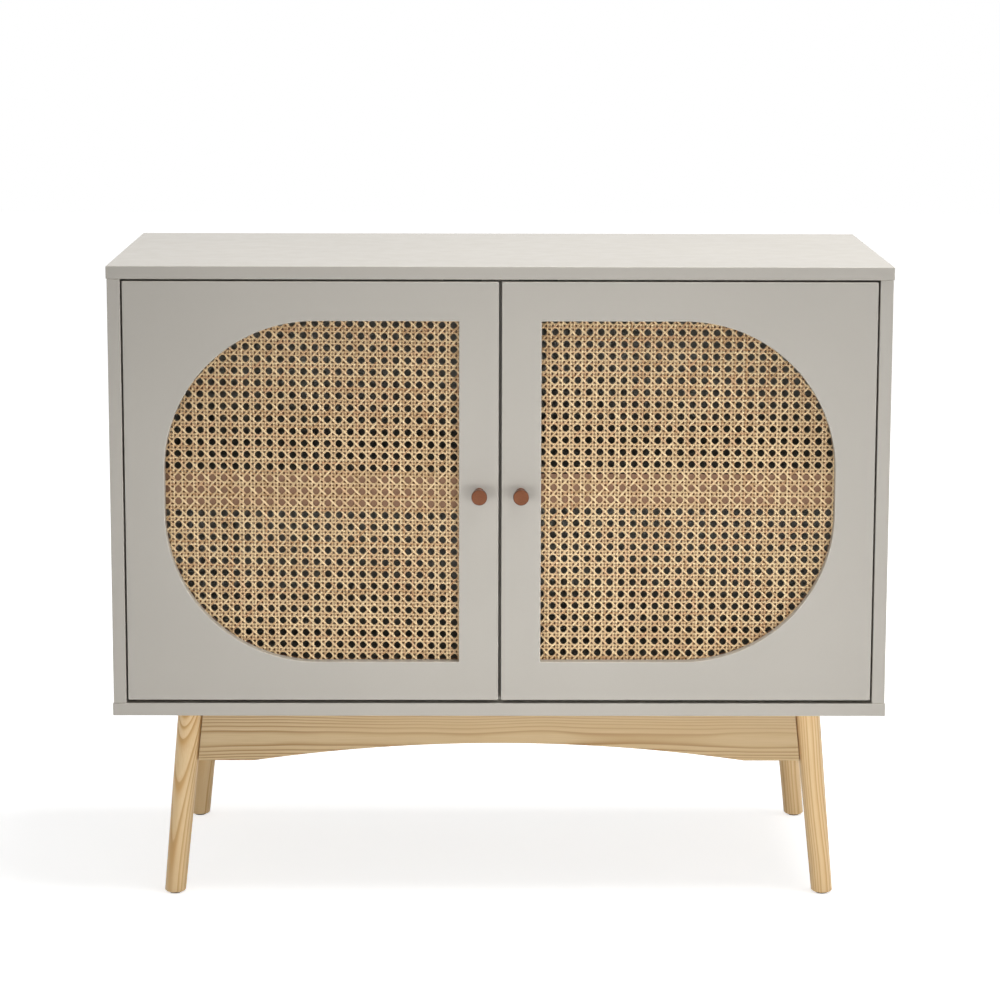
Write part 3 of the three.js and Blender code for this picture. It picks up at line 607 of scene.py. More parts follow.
def hardboard():
    """Back panel: painted inside, bare brown outside with the fine mesh that its pressing leaves. The mesh is
    sin(kx) sin(kz)."""
    finish = Finish("hardboard", "Specular IOR Level", 0.3)
    place = finish.place()
    x, y, z = finish.parts(place)
    wave = 2 * math.pi / (1.6 * MM)
    waves = [finish.math("SINE", finish.math("MULTIPLY", part, wave)) for part in (x, z)]
    felt = finish.noise(place, (300, 300, 300), 3)
    brown = srgb(133, 101, 74)
    bare = finish.mottled(felt, brown, 0.82, 1.15)
    bare = finish.laid(bare, shade(brown, 0.8), finish.noise(place, 6), 0.3, 0.7, 0.3)
    rear = finish.math("GREATER_THAN", y, middle_of("back_panel")[1])
    colour = finish.blend(rear, shade(settings("colours").paint, 1.02), bare)
    pressed = finish.math("ADD", finish.math("MULTIPLY", *waves), felt)
    finish.bump(finish.math("MULTIPLY", pressed, rear), 0.06 * MM, 0.6)
    return finish.end(colour, finish.span(felt, 0.3, 0.7, 0.55, 0.75))


def copper_brown():
    """Turned metal: fine rings from the lathe tool, which are a sine of the length run along the profile."""
    base = settings("colours").copper
    finish = Finish("copper_brown", "Metallic", 0.8)
    waver = finish.noise(finish.place(), 900)
    run = finish.math("MULTIPLY", finish.mark("turning", "Fac"), 2 * math.pi / (1.1 * MM))
    ring = finish.math("SINE", run)
    colour = finish.laid(shade(base, 0.86), shade(base, 1.1), waver, 0.35, 0.65, 1)
    colour = finish.laid(colour, shade(base, 0.62), ring, -1, 1, 0.45)
    finish.bump(ring, 0.02 * MM, 0.6)
    return finish.end(colour, finish.span(waver, 0.3, 0.7, 0.36, 0.5))


def plated_steel():
    """Nickel plating with faint rolling marks."""
    finish = Finish("plated_steel", "Metallic", 1.0)
    marks = finish.noise(finish.place(), (2500, 300, 300), 3)
    finish.bump(marks, 0.01 * MM, 0.5)
    colour = finish.mottled(marks, srgb(196, 194, 188), 0.88, 1.06)
    return finish.end(colour, finish.span(marks, 0.3, 0.7, 0.24, 0.38))


def dark_plastic():
    """Moulded plastic with a fine eroded grain."""
    finish = Finish("dark_plastic", "Specular IOR Level", 0.4)
    grain = finish.noise(finish.place(), 1800)
    finish.bump(grain, 0.05 * MM, 0.6)
    colour = finish.mottled(grain, srgb(48, 42, 38), 0.85, 1.2)
    return finish.end(colour, finish.span(grain, 0.3, 0.7, 0.45, 0.6))


FINISH_OF_SLOT = {
    "lacquered_board": lacquered_board,
    "raw_board": raw_board,
    "hardboard": hardboard,
    "cane": cane,
    "copper_brown": copper_brown,
    "hinge_steel": plated_steel,
    "dark_plastic": dark_plastic,
}


@functools.cache
def finish_of(slot):
    """The finish of a slot, made once and then shared."""
    return FINISH_OF_SLOT[slot]()


def dress(node, finish):
    """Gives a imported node, whose shape stays, its finish."""
    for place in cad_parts[node].material_slots:
        place.material = finish


# The case

PIN_BORE, PIN_DEPTH, PIN_STEP = 5.6 * MM, 6 * MM, 32 * MM


def inner_face(hand):
    """X of a side board's inner face."""
    low, high = low_high(hand + "_side_panel")
    return high[0] if hand == "left" else low[0]


def inner_heights():
    """Z of the bottom board's upper face and of the top board's lower face."""
    return low_high("bottom_panel")[1][2], low_high("top_panel")[0][2]


def pin_drills(side_face, toward):
    """Drills for the shelf pins in an upright board: three heights in two rows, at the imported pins."""
    drills = []
    for number in (1, 2):
        _, y, z = middle_of(f"left_shelf_pin_{number}")
        for step in (-PIN_STEP, 0, PIN_STEP):
            drills.append(drill([side_face, y, z + step], [toward, 0, 0], PIN_BORE, PIN_DEPTH))
    return drills


def build_case():
    radius = settings("boards").edge_radius
    floor, ceiling = inner_heights()

    def board(name, node, drills=None):
        """Bored boards stand between the bottom and the top board."""
        low, high = low_high(node)
        if drills:
            low[2], high[2] = floor, ceiling
        add_piece(name, rounded_box(low, high, radius), "root", "lacquered_board", [node], cutters=drills)

    board("top_board", "top_panel")
    board("bottom_board", "bottom_panel")
    for hand, side in HANDS:
        board(hand + "_side_board", hand + "_side_panel", pin_drills(inner_face(hand), -side))
        board(hand + "_shelf_board", hand + "_shelf")
        for number in range(1, 5):
            dress(f"{hand}_shelf_pin_{number}", finish_of("hinge_steel"))
    low, high = low_high("centre_partition")
    board("partition_board", "centre_partition", pin_drills(low[0], -1) + pin_drills(high[0], 1))
    low, high = low_high("back_panel")
    low[0], high[0], low[2], high[2] = inner_face("left"), inner_face("right"), floor, ceiling
    add_piece("back_sheet", rounded_box(low, high, 0.3 * MM), "root", "hardboard", ["back_panel"])


# The doors

CUP_BORE, CUP_DEPTH, CUP_INSET = 35.6 * MM, 11.8 * MM, 21.5 * MM


class Door:
    """Places on a door: across from its hinge edge, up from its lower edge and back from its front."""

    corner_steps = 40
    bend_steps = 8
    outer_rounding = 1.5 * MM

    def __init__(self, hand, side):
        self.hand, self.side, self.body = hand, side, hand + "_door"
        self.low, self.high = low_high(hand + "_door_frame")
        self.width, self.thickness, self.height = self.high - self.low
        self.hinge_x = self.low[0] if side < 0 else self.high[0]
        self.boards = settings("boards")

    def at(self, across, up, back):
        return stacked(self.hinge_x - self.side * across, self.low[1] + back, self.low[2] + up)

    def corners(self, grown, meeting_radius):
        """Middle, radius, first direction and the door's own corner for each of the window's four corners,
        with the window grown by a margin."""
        edge = self.boards.window_margin - grown
        big, small = self.boards.window_radius + grown, meeting_radius
        right, top = self.width - edge, self.height - edge
        return [
            ((edge + big, top - big), big, 90, (0, 1)),
            ((edge + big, edge + big), big, 180, (0, 0)),
            ((right - small, edge + small), small, 270, (1, 0)),
            ((right - small, top - small), small, 0, (1, 1)),
        ]

    def window_loop(self, grown, meeting_radius=None, steps=corner_steps):
        """The window's outline grown by a margin: four arcs m + r (cos t, sin t) joined by straight lines."""
        if meeting_radius is None:
            meeting_radius = self.boards.window_corner + grown
        loop = []
        for middle, radius, start, _ in self.corners(grown, meeting_radius):
            angle = np.radians(start + np.linspace(0, 90, steps + 1))
            loop.append(np.array(middle) + radius * np.stack([np.cos(angle), np.sin(angle)], 1))
        return np.concatenate(loop)

    def outer_loop(self, shrunk):
        """The door's outline moved in by a margin, with a point for each point of the window's outline: along
        one edge to the corner's rounding, round it, and along the next edge."""
        loop = []
        radius = max(self.outer_rounding - shrunk, 0.2 * MM)
        way = np.linspace(0, 1, (self.corner_steps - self.bend_steps) // 2 + 1)[:, None]
        angle = np.radians(np.linspace(0, 90, self.bend_steps + 1))[:, None]
        size = np.array([self.width, self.height])
        for middle, _, start, share in self.corners(0, self.boards.window_corner):
            a = np.array([round(math.cos(math.radians(start))), round(math.sin(math.radians(start)))])
            b = np.array([-a[1], a[0]])
            corner = np.where(np.array(share) == 1, size - shrunk, shrunk)
            first = corner - b * ((corner - middle) @ b)
            last = corner - a * ((corner - middle) @ a)
            turn = corner - radius * (a + b) + radius * (a * np.cos(angle) + b * np.sin(angle))
            loop.append(first + (turn[0] - first) * way[:-1])
            loop.append(turn)
            loop.append(turn[-1] + (last - turn[-1]) * way[1:])
        return np.concatenate(loop)

    def in_window(self, across, up, grown):
        """True inside the window's outline grown by a margin."""
        b = self.boards
        edge = b.window_margin - grown
        upper = np.minimum(up, self.height - up)
        inside = (upper > edge) & (across > edge) & (across < self.width - edge)
        middle = b.window_margin + b.window_radius
        in_corner = (across < middle) & (upper < middle)
        reach = np.hypot(middle - across, middle - upper) < b.window_radius + grown
        return inside & (~in_corner | reach)


def both_doors():
    return [Door(hand, side) for hand, side in HANDS]


def door_board(door):
    """The door frame as one closed skin: a profile is carried round the window and the door's edges. Each
    station of the profile is the window's or the door's outline, moved in by an inset, at a depth, and on a
    rounded edge or not; the lacquer makes those edges paler, partly as wear and partly as a painted
    highlight."""
    b, thick, spare = door.boards, door.thickness, 0.15 * MM
    window, outer = door.window_loop, door.outer_loop
    step = thick - b.rebate_depth
    inner_edge, outer_edge = quarter(1.1 * MM), quarter(b.edge_radius)
    near, far = inner_edge[0, 0] + spare, outer_edge[0, 0] + spare
    stations = [
        (window, near, 0, 0),
        *[(window, inset, depth, 1) for inset, depth in inner_edge],
        (window, 0, near, 0),
        (window, 0, step, 0),
        (window, b.rebate_width, step, 0),
        (window, b.rebate_width, thick, 0),
        (outer, far, thick, 0),
        *[(outer, inset, thick - depth, 1) for inset, depth in outer_edge],
        (outer, 0, thick - far, 0),
        (outer, 0, far, 0),
        *[(outer, inset, depth, 1) for inset, depth in outer_edge[::-1]],
        (outer, far, 0, 0),
    ]
    rows = [door.at(*outline(move).T, back) for outline, move, back, _ in stations]
    edge = np.array([np.full(len(rows[0]), float(rubbed_and_highlit_edges)) for *_, rubbed_and_highlit_edges in stations])
    return carried(rows, hoop=True, edge=edge)


def ring_board(door):
    """The ring that clamps the cane: a rounded rectangle carried round the window's outline."""
    start, end = door.high[1], low_high(door.hand + "_cane_retainer")[1][1]
    width, corner = door.boards.ring_width, quarter(0.5 * MM, 3)
    profile = [(inset, start + depth) for inset, depth in corner]
    profile += [(inset, end - depth) for inset, depth in corner[::-1]]
    profile += [(width - inset, end - depth) for inset, depth in corner]
    profile += [(width - inset, start + depth) for inset, depth in corner[::-1]]
    outlines = [(door.window_loop(grown, door.boards.window_corner), y - door.low[1]) for grown, y in profile]
    return carried([door.at(*outline.T, back) for outline, back in outlines], hoop=True)


def cup_places(door):
    """Middle of each hinge cup on the back of the door."""
    x = door.at(CUP_INSET, 0, 0)[0]
    heights = [middle_of(f"{door.hand}_{level}_hinge_cup")[2] for level in LEVELS]
    return [np.array([x, door.high[1], z]) for z in heights]


def build_doors():
    for door in both_doors():
        hand, b = door.hand, door.boards
        frame_node, ring_node = hand + "_door_frame", hand + "_cane_retainer"
        cups = [drill(place, -FRONT, CUP_BORE, CUP_DEPTH) for place in cup_places(door)]
        board, ring = door_board(door), ring_board(door)
        add_piece(hand + "_door_board", board, door.body, "lacquered_board", [frame_node], cutters=cups)
        add_piece(hand + "_cane_ring", ring, door.body, "raw_board", [ring_node])
        low, high = low_high(ring_node)
        ends = door.at(np.array([b.window_margin, door.width - b.window_margin]), door.height / 2, 0)
        low[0], high[0] = sorted(ends[:, 0])
        low[2], high[2] = ends[0, 2] - b.bar_height / 2, ends[0, 2] + b.bar_height / 2
        add_piece(hand + "_cane_bar", rounded_box(low, high, 0.5 * MM), door.body, "raw_board", [ring_node])


# The cane

# Where one hole of each door's weave lies, in mm from the window's meeting edge and above its middle, then
# the fall of its rows and the lean of its columns, because neither sheet is glued in quite square.
WEAVES = {"left": (151.8, -28.1, -0.0126, -0.0019), "right": (160.9, 17.7, -0.0044, 0.0055)}
SECTION_ACROSS = np.array([-1.0, -0.62, 0.0, 0.62, 1.0, 0.0])
SECTION_HEIGHT = np.array([-0.1, 0.68, 1.0, 0.68, -0.1, -0.8])
REBATE_PLAY = 1.3 * MM
ROW_REACH = 34
# Where a crossing strand bends within a cell, and the height of its ties and of the slanting strands' piles
BENDS = np.array([0.0, 0.2, 0.3, 0.385, 0.455, 0.545, 0.615, 0.7, 0.8])
TIE, PILE = 0.32 * MM, 0.62 * MM
# Unevenness: sideways waves and shifts of a strand, and the spread of its width as a share
WAVE, SHIFT, WIDTH_SPREAD = 0.13 * MM, 0.07 * MM, 0.06
CHANCE_SEED = 7


def over_and_under(reach, near):
    """Rise of a strand over one strand of a pair and under the other: x / n exp((1 - (x / n)^2) / 2), which
    is 1 at n and -1 at -n, and dies away beyond."""
    x = (reach % 1.0 - 0.5) / near
    return x * np.exp((1 - x**2) / 2)


def strand_part(door, lines, heading, stations, rise, width, tones, inner, chance):
    """Parallel strands of the weave, each a closed flat lens carried along its line.

    In the lattice of the holes a strand's line is start + s heading. A point of its skin lies off the line
    by half the width times its place across, and off the sheet by the rise plus half the thickness times
    the section's height. The mark "fibre" holds the length, the tone and how near a point is to the inner
    edge of its pair: inner is 1 or -1 where that is the left or the right edge, and 0 without a pair. The
    mark "cell" holds s, which is whole where an upright or level strand is beside the middle of a hole.
    """
    c = settings("cane")
    from_edge, above, fall, lean = WEAVES[door.hand]
    margin = door.boards.window_margin
    centre_x = door.at(door.width - margin - from_edge * MM, 0, 0)[0]
    origin = np.array([centre_x, door.low[2] + door.height / 2 + above * MM])
    basis = np.array([[c.pitch_across, fall * c.pitch_across], [lean * c.pitch_up, c.pitch_up]])
    count, steps, sides = len(lines), len(stations), len(SECTION_ACROSS)
    cells = lines[:, None, :] + stations[None, :, None] * np.array(heading, float)
    flat = origin + cells @ basis
    ahead = np.array(heading) @ basis
    pace = np.linalg.norm(ahead)
    aside = np.array([-ahead[1], ahead[0]]) / pace
    phase = chance.uniform(0, 2 * math.pi, (count, 1))
    wander = WAVE * np.sin(stations[None, :] * 0.9 + phase) + chance.normal(0, SHIFT, (count, 1))
    flat = flat + wander[..., None] * aside
    half = 0.5 * width * (1 + chance.uniform(-WIDTH_SPREAD, WIDTH_SPREAD, (count, 1, 1)))
    skin = np.empty((count, steps, sides, 3))
    skin[..., [0, 2]] = flat[:, :, None, :] + (half * SECTION_ACROSS)[..., None] * aside
    lift = rise(cells)[:, :, None] + 0.5 * c.strand_thickness * SECTION_HEIGHT
    skin[..., 1] = middle_of(door.hand + "_cane")[1] - lift
    across = door.side * (door.hinge_x - flat[..., 0])
    inside = door.in_window(across, flat[..., 1] - door.low[2], door.boards.rebate_width - REBATE_PLAY)
    number = np.arange(count * steps * sides).reshape(count, steps, sides)
    run = inside[:, :-1] & inside[:, 1:]
    here, there = number[:, :-1][run], number[:, 1:][run]
    quads = np.stack([here, np.roll(here, -1, 1), np.roll(there, -1, 1), there], -1).reshape(-1, 4)
    kept = np.flatnonzero(run.any(1))
    first = run.argmax(1)[kept]
    last = steps - 1 - run[:, ::-1].argmax(1)[kept]
    faces = [quads, number[kept, first][:, ::-1], number[kept, last]]
    used = np.unique(np.concatenate([block.ravel() for block in faces]))
    faces = [np.searchsorted(used, block) for block in faces]
    fibre = np.empty((count, steps, sides, 3))
    fibre[..., 0] = (stations * pace)[None, :, None] + chance.uniform(0, 9, (count, 1, 1))
    fibre[..., 1] = chance.uniform(*tones, (count, 1, 1))
    fibre[..., 2] = inner * SECTION_ACROSS if inner else -0.8 * abs(SECTION_ACROSS)
    cell = np.broadcast_to(stations[None, :, None], (count, steps, sides)).reshape(-1)
    return closed(skin.reshape(-1, 3)[used], faces, fibre=fibre.reshape(-1, 3)[used], cell=cell[used])


def build_cane():
    c = settings("cane")
    chance = np.random.default_rng(CHANCE_SEED)
    rows = np.arange(-ROW_REACH, ROW_REACH + 1)
    stations = (rows[:, None] + BENDS[None, :]).ravel()
    slants = np.arange(-ROW_REACH, ROW_REACH, 0.125)
    near = (c.upright_offset / c.pitch_across, c.level_offset / c.pitch_up)

    def crossing(axis, sign):
        """The rise of a strand over and under the pairs that it crosses."""
        return lambda cells: sign * TIE * over_and_under(cells[..., axis], near[axis])

    def piled(sign):
        """The rise over one kind of pair and under the other: r sin(90 cos(2 pi x))."""
        return lambda cells: sign * PILE * np.sin(math.pi / 2 * np.cos(2 * math.pi * cells[..., 0]))

    def paired(door, axis, heading, way):
        """Both strands of every pair. Way is 1 or -1, and level pairs tie the other way round."""
        parts = []
        for sign in (-1, 1):
            lines = np.zeros((len(rows), 2))
            lines[:, axis] = rows + 0.5 + sign * near[axis]
            inner = way * sign
            rise = crossing(1 - axis, inner)
            strand = strand_part(door, lines, heading, stations, rise, c.strand_width, (0, 1), inner, chance)
            parts.append(strand)
        return together(parts)

    def slanting(door, heading, sign, tones):
        """Strands at a slant. Each crosses a pair halfway between that pair's own crossings."""
        lines = np.stack([np.zeros(len(rows)), rows + 0.5], 1)
        return strand_part(door, lines, heading, slants, piled(sign), c.slant_width, tones, 0, chance)

    for door in both_doors():
        # The falling strands get a lighter tone range than the rising ones: a painted highlight, as they lie
        # on top and catch the light from the upper right.
        strands = {
            "upright": paired(door, 0, (0, 1), 1),
            "level": paired(door, 1, (1, 0), -1),
            "rising": slanting(door, (1, 1), 1, (0.1, 1.0)),
            "falling": slanting(door, (1, -1), -1, (0.55, 1.4)),
        }
        for name, part in strands.items():
            piece, node = f"{door.hand}_{name}_cane", door.hand + "_cane"
            add_piece(piece, part, door.body, "cane", [node], sharp_angle=80)


# Knobs, hinges and catches

# Screw heads: diameter and height
PULL_SCREW, HINGE_SCREW = (8 * MM, 2.4 * MM), (7 * MM, 1.8 * MM)
RING_SCREW, BLOCK_SCREW = (6 * MM, 0.9 * MM), (8 * MM, 1.6 * MM)
CUP_FLANGE, PLATE_THICKNESS = 1.5 * MM, 2.3 * MM
CUP_SCREW_STEP, PLATE_SCREW_STEP, PLATE_SCREW_INSET = 23 * MM, 20 * MM, 24.5 * MM
POLE_HEIGHTS, POLE_THICKNESS = (3.2 * MM, 9.4 * MM), 1.4 * MM
POLE_INSET, POLE_PROUD, POLE_DEPTH = 5 * MM, 0.3 * MM, MM
RING_SCREW_OUT, BLOCK_SCREW_STEP = 7 * MM, 11 * MM
CAM_FROM_FRONT, CAM_FROM_BACK, CAM_FROM_END = 62 * MM, 60 * MM, 24 * MM


def knob_profile(long):
    """Pairs of radius and distance from the door, worked out in mm: a foot, a hollow neck, and a head with
    rounded edges whose face dips by d sqrt(1 - (r/R)^2)."""
    head, edge, dip = 9.0, 1.0, 0.25
    flat = head - edge
    profile = [(0, 0), (6.1, 0), *arc((5.75, 0.5), 0.5, -90, 0, 3), (6.25, 2.6)]
    profile += arc((8.2, 6), 3.2, 235, 180, 6)
    profile += [(5, long - 10.5), *arc((7, long - 9.6), 2, 180, 90, 6)]
    profile += [(head - 0.6, long - 7.6), *arc((head - 0.6, long - 7), 0.6, -90, 0, 3)]
    profile += arc((flat, long - edge), edge, 0, 90, 5)
    profile += [(r, long - dip * math.sqrt(1 - (r / flat) ** 2)) for r in np.linspace(flat, 0, 12)[1:-1]]
    return np.array([*profile, (0, long - dip)]) * MM


def build_knobs():
    for door in both_doors():
        node = door.hand + "_knob"
        x, _, z = middle_of(node)
        profile = knob_profile((door.low[1] - low_high(node)[0][1]) / MM)
        knob = turned(profile, np.array([x, door.low[1], z]), FRONT, 56)
        add_piece(door.hand + "_pull", knob, door.body, "copper_brown", [node], sharp_angle=50)
        screw = screw_head(np.array([x, door.high[1], z]), -FRONT, *PULL_SCREW)
        add_piece(door.hand + "_pull_screw", screw, door.body, "hinge_steel", [node + "_screw"])


def build_hinges():
    for door in both_doors():
        hand = door.hand
        plate_x = inner_face(hand) - door.side * PLATE_THICKNESS
        door_screws, case_screws = [], []
        for level, place in zip(LEVELS, cup_places(door)):
            for part in ("cup", "arm", "plate"):
                dress(f"{hand}_{level}_hinge_{part}", finish_of("hinge_steel"))
            plate = f"{hand}_{level}_hinge_plate"
            for sign in (-1, 1):
                seat = place + UP * sign * CUP_SCREW_STEP - FRONT * CUP_FLANGE
                door_screws.append(screw_head(seat, -FRONT, *HINGE_SCREW))
                y = low_high(plate)[0][1] + PLATE_SCREW_INSET
                seat = np.array([plate_x, y, middle_of(plate)[2] + sign * PLATE_SCREW_STEP])
                case_screws.append(screw_head(seat, [-door.side, 0, 0], *HINGE_SCREW))
        add_piece(hand + "_cup_screws", together(door_screws), door.body, "hinge_steel")
        add_piece(hand + "_plate_screws", together(case_screws), "root", "hinge_steel")


def build_catches():
    for door in both_doors():
        catch, strike = door.hand + "_catch", door.hand + "_strike"
        low, high = low_high(catch)
        high[2] = inner_heights()[1]
        add_piece(catch + "_shell", rounded_box(low, high, 0.8 * MM), "root", "dark_plastic", [catch])
        poles = []
        for up in POLE_HEIGHTS:
            pole_low = low + [POLE_INSET, -POLE_PROUD, up]
            pole_high = [high[0] - POLE_INSET, low[1] + POLE_DEPTH, low[2] + up + POLE_THICKNESS]
            poles.append(rounded_box(pole_low, pole_high, 0.2 * MM))
        add_piece(catch + "_poles", together(poles), "root", "hinge_steel")
        low, high = low_high(strike + "_plate")
        low[1] = door.high[1]
        add_piece(strike, rounded_box(low, high, 0.3 * MM), door.body, "hinge_steel", [strike + "_plate"])


def build_fasteners():
    """Screws through the ring into the door and through the corner blocks, and cam covers in the case."""
    floor, ceiling = inner_heights()
    for door in both_doors():
        hand, b = door.hand, door.boards
        back = low_high(hand + "_cane_retainer")[1][1] - door.low[1]
        loop = door.window_loop(0.5 * b.ring_width, b.window_corner, 4)
        end = b.window_margin - RING_SCREW_OUT
        seats = [*loop[[1, 3, 6, 8, 11, 18]], (end, door.height / 2), (door.width - end, door.height / 2)]
        screws = [screw_head(door.at(*seat, back), -FRONT, *RING_SCREW) for seat in seats]
        add_piece(hand + "_ring_screws", together(screws), door.body, "hinge_steel")
        low, high = low_high(hand + "_side_panel")
        rim = [(0, 0), (8 * MM, 0), *arc((7.6 * MM, 0.3 * MM), 0.4 * MM, 0, 90, 3), (0, 0.7 * MM)]
        covers = [
            turned(rim, [inner_face(hand), y, z], [-door.side, 0, 0], 32)
            for y in (low[1] + CAM_FROM_FRONT, high[1] - CAM_FROM_BACK)
            for z in (floor + CAM_FROM_END, ceiling - CAM_FROM_END)
        ]
        add_piece(hand + "_cam_covers", together(covers), "root", "lacquered_board")
    screws = []
    for row in ROWS:
        for hand, _ in HANDS:
            node = f"{row}_{hand}_corner_block"
            slope = 1 if (row == "front") == (hand == "left") else -1
            x, y, _ = middle_of(node)
            for shift in (-BLOCK_SCREW_STEP, BLOCK_SCREW_STEP):
                seat = np.array([x + shift, y + slope * shift, low_high(node)[0][2]])
                screws.append(screw_head(seat, -UP, *BLOCK_SCREW))
    add_piece("block_screws", together(screws), "root", "hinge_steel")


# The leg frame

# Where the pith of each leg lies in mm: along the leg, across and back from its axis, and how far it bends
LEG_PITHS = {
    "front_left": (300, 13, 27, 14),
    "front_right": (1700, -44, 6, 0),
    "back_left": (2900, 14, 34, 2),
    "back_right": (4100, -32, 14, 2),
}
# The same for each apron: along, back and up in mm, and its rise to the length
APRON_PITHS = {"front": (200, -31.85, 5, -0.004), "back": (5100, 44, 12, -0.01)}
APRON_THICKNESS = 18 * MM
APRON_CLEARANCE = 0.3 * MM
GLIDE_RADIUS, GLIDE_BEVEL = 7.5 * MM, 0.8 * MM


class LegLine:
    """A leg's axis in its upright plane: x = top + (height - z) tan splay, and its tapering radius."""

    def __init__(self):
        self.s = settings("legs")
        low, high = low_high("bottom_panel")
        self.height, self.top_x = low[2], high[0] - self.s.end_inset

    def axis_x(self, z):
        return self.top_x + (self.height - z) * math.tan(self.s.splay)

    def radius(self, z):
        return 0.5 * (self.s.foot_diameter + (self.s.top_diameter - self.s.foot_diameter) * z / self.height)

    def inner_x(self, z):
        return self.axis_x(z) - self.radius(z) / math.cos(self.s.splay)


def leg_part(line, side, y, low_z, pith, sides=56):
    """A leaning cone cut level: at each height z a ring whose middle is on the axis, r / cos(splay) wide
    along X and r along Y, with a bevel at the foot. The mark "grain" is the place along and across from the
    pith, which bends away from the axis by its last number times (z / height)^3."""
    chamfer, soft = line.s.foot_chamfer, 0.35 * MM
    levels = [
        (low_z, -chamfer - soft),
        (low_z + 0.2 * soft, -chamfer),
        (low_z + chamfer - 0.3 * soft, -0.4 * soft),
        (low_z + chamfer + 0.8 * soft, 0),
        *[(z, 0) for z in np.linspace(low_z + 6 * MM, line.height, 14)],
    ]
    z, cut = np.array(levels).T[:, :, None]
    cosine, sine = circle(sides)
    radius = line.radius(z) + cut
    u, v = radius * cosine, radius * sine
    lean = math.cos(line.s.splay)
    drift = pith[3] * (z / line.height) ** 3
    grain = stacked(z / lean + pith[0], u - pith[1], v - pith[2] - drift)
    return carried(stacked(side * line.axis_x(z) + u / lean, y + v, z), grain=grain)


def apron_part(line, low, high, pith, slope):
    """A board between two legs. Its section is a rounded rectangle whose lower edge follows the arch, which
    rises by h (1 - (x / a)^2), and its ends lie along the legs: x = share of the leg's inner line. The mark
    "grain" is the place from the pith, which rises along the board by the slope."""
    bottom, top, front, back = low[2], line.height, low[1], high[1]
    reach = line.inner_x(bottom) - APRON_CLEARANCE
    arch_x = line.inner_x(bottom) - line.s.arch_end
    x = np.unique(np.r_[np.linspace(-reach, reach, 97), -arch_x, arch_x])
    rise = line.s.arch_rise * np.clip(1 - (x / arch_x) ** 2, 0, None)
    corner = quarter(0.9 * MM, 3)
    ring = [(front + inset, bottom + rise + depth) for inset, depth in corner[::-1]]
    ring += [(back - inset, bottom + rise + depth) for inset, depth in corner]
    ring += [(back - inset, top - depth) for inset, depth in corner[::-1]]
    ring += [(front + inset, top - depth) for inset, depth in corner]
    rows = [stacked(x / reach * (line.inner_x(z) - APRON_CLEARANCE), y, z) for y, z in ring]
    skin = np.stack(rows, 1)
    grain = skin - [0, (front + back) / 2, (bottom + top) / 2] + pith
    grain[..., 2] -= slope * skin[..., 0]
    return carried(skin, grain=grain)


def build_leg_frame():
    line = LegLine()
    # The legs' pine is made lighter and the rails' pine darker: partly tone that differs from piece to piece,
    # partly painted light on the legs and painted shade on the rails under the case.
    turned_pine = pine("pine_legs", by_grain, 3.6, 1.2, depth=0.96)
    sawn_pine = pine("pine_rails", by_grain, 1.55, 0.86, (2, 5), 0.6, 0.71)
    rim, bevel = GLIDE_RADIUS, GLIDE_BEVEL
    for corner, pith in LEG_PITHS.items():
        side = -1 if corner.endswith("left") else 1
        foot = low_high(corner + "_leg")[0][2]
        x, y, _ = middle_of(corner + "_foot_glide")
        leg = leg_part(line, side, y, foot, np.array(pith) * MM)
        add_piece(corner + "_turned_leg", leg, "root", "pine", [corner + "_leg"], turned_pine)
        disc = [(0, 0), (rim - bevel, 0), *arc((rim - bevel, bevel), bevel, -90, 0, 4)]
        disc += [(rim, foot), (0, foot)]
        glide = turned(disc, [x, y, 0], UP, 36)
        add_piece(corner + "_glide", glide, "root", "dark_plastic", [corner + "_foot_glide"])
    for row, (*pith, slope) in APRON_PITHS.items():
        node = row + "_apron"
        low, high = low_high(node)
        middle = middle_of(node)[1]
        low[1], high[1] = middle - APRON_THICKNESS / 2, middle + APRON_THICKNESS / 2
        apron = apron_part(line, low, high, np.array(pith) * MM, slope)
        add_piece(row + "_arched_rail", apron, "root", "pine", [node], sawn_pine)
    along = pine("pine_side_rail", by_place(math.pi / 2, (0.4, 0.36, -0.17)))
    slant = pine("pine_block", by_place(math.pi / 4, (0.9, 0.05, -0.17)))
    for hand, _ in HANDS:
        dress(hand + "_rail", along)
        for row in ROWS:
            dress(f"{row}_{hand}_corner_block", slant)


# The stage

CAMERA_PLACE = (-0.025, -3.647, 1.116)
CAMERA_YAW, CAMERA_PITCH, CAMERA_ROLL = 0.41, 8.91, 0.15
CAMERA_LENS, CAMERA_SENSOR, CAMERA_SHIFT = 109.9, 36, -0.08
CAMERA_NEAR, CAMERA_FAR = 0.1, 50
FLOOR_REACH = 9.0
WHITE, PALE = (1, 1, 1, 1), (0.8, 0.8, 0.8, 1)
# Setting of its power, place, target, size and spread in degrees
LAMPS = {
    "key_lamp": ("key", (1.4, -2.5, 2.0), (0.05, -0.1, 0.35), 1.1, 180),
    "front_left_lamp": ("front", (-0.95, -2.65, 0.25), (0.08, -0.2, 0.28), 1.1, 28),
    "front_right_lamp": ("front", (1.05, -2.65, 0.25), (0.08, -0.2, 0.28), 1.1, 28),
    "side_lamp": ("side", (2.5, -1.1, 0.5), (0, -0.1, 0.3), 0.7, 180),
    "top_lamp": ("over", (0.8, -0.25, 2.9), (0, 0, 0.4), 1.8, 180),
}


def seen_directly(tree):
    """1 for rays that show the surroundings: from the camera, off gloss or through glass."""
    rays = tree.nodes.new("ShaderNodeLightPath").outputs
    gloss = tree.math("MAXIMUM", rays["Is Camera Ray"], rays["Is Glossy Ray"])
    return tree.math("MAXIMUM", gloss, rays["Is Transmission Ray"])


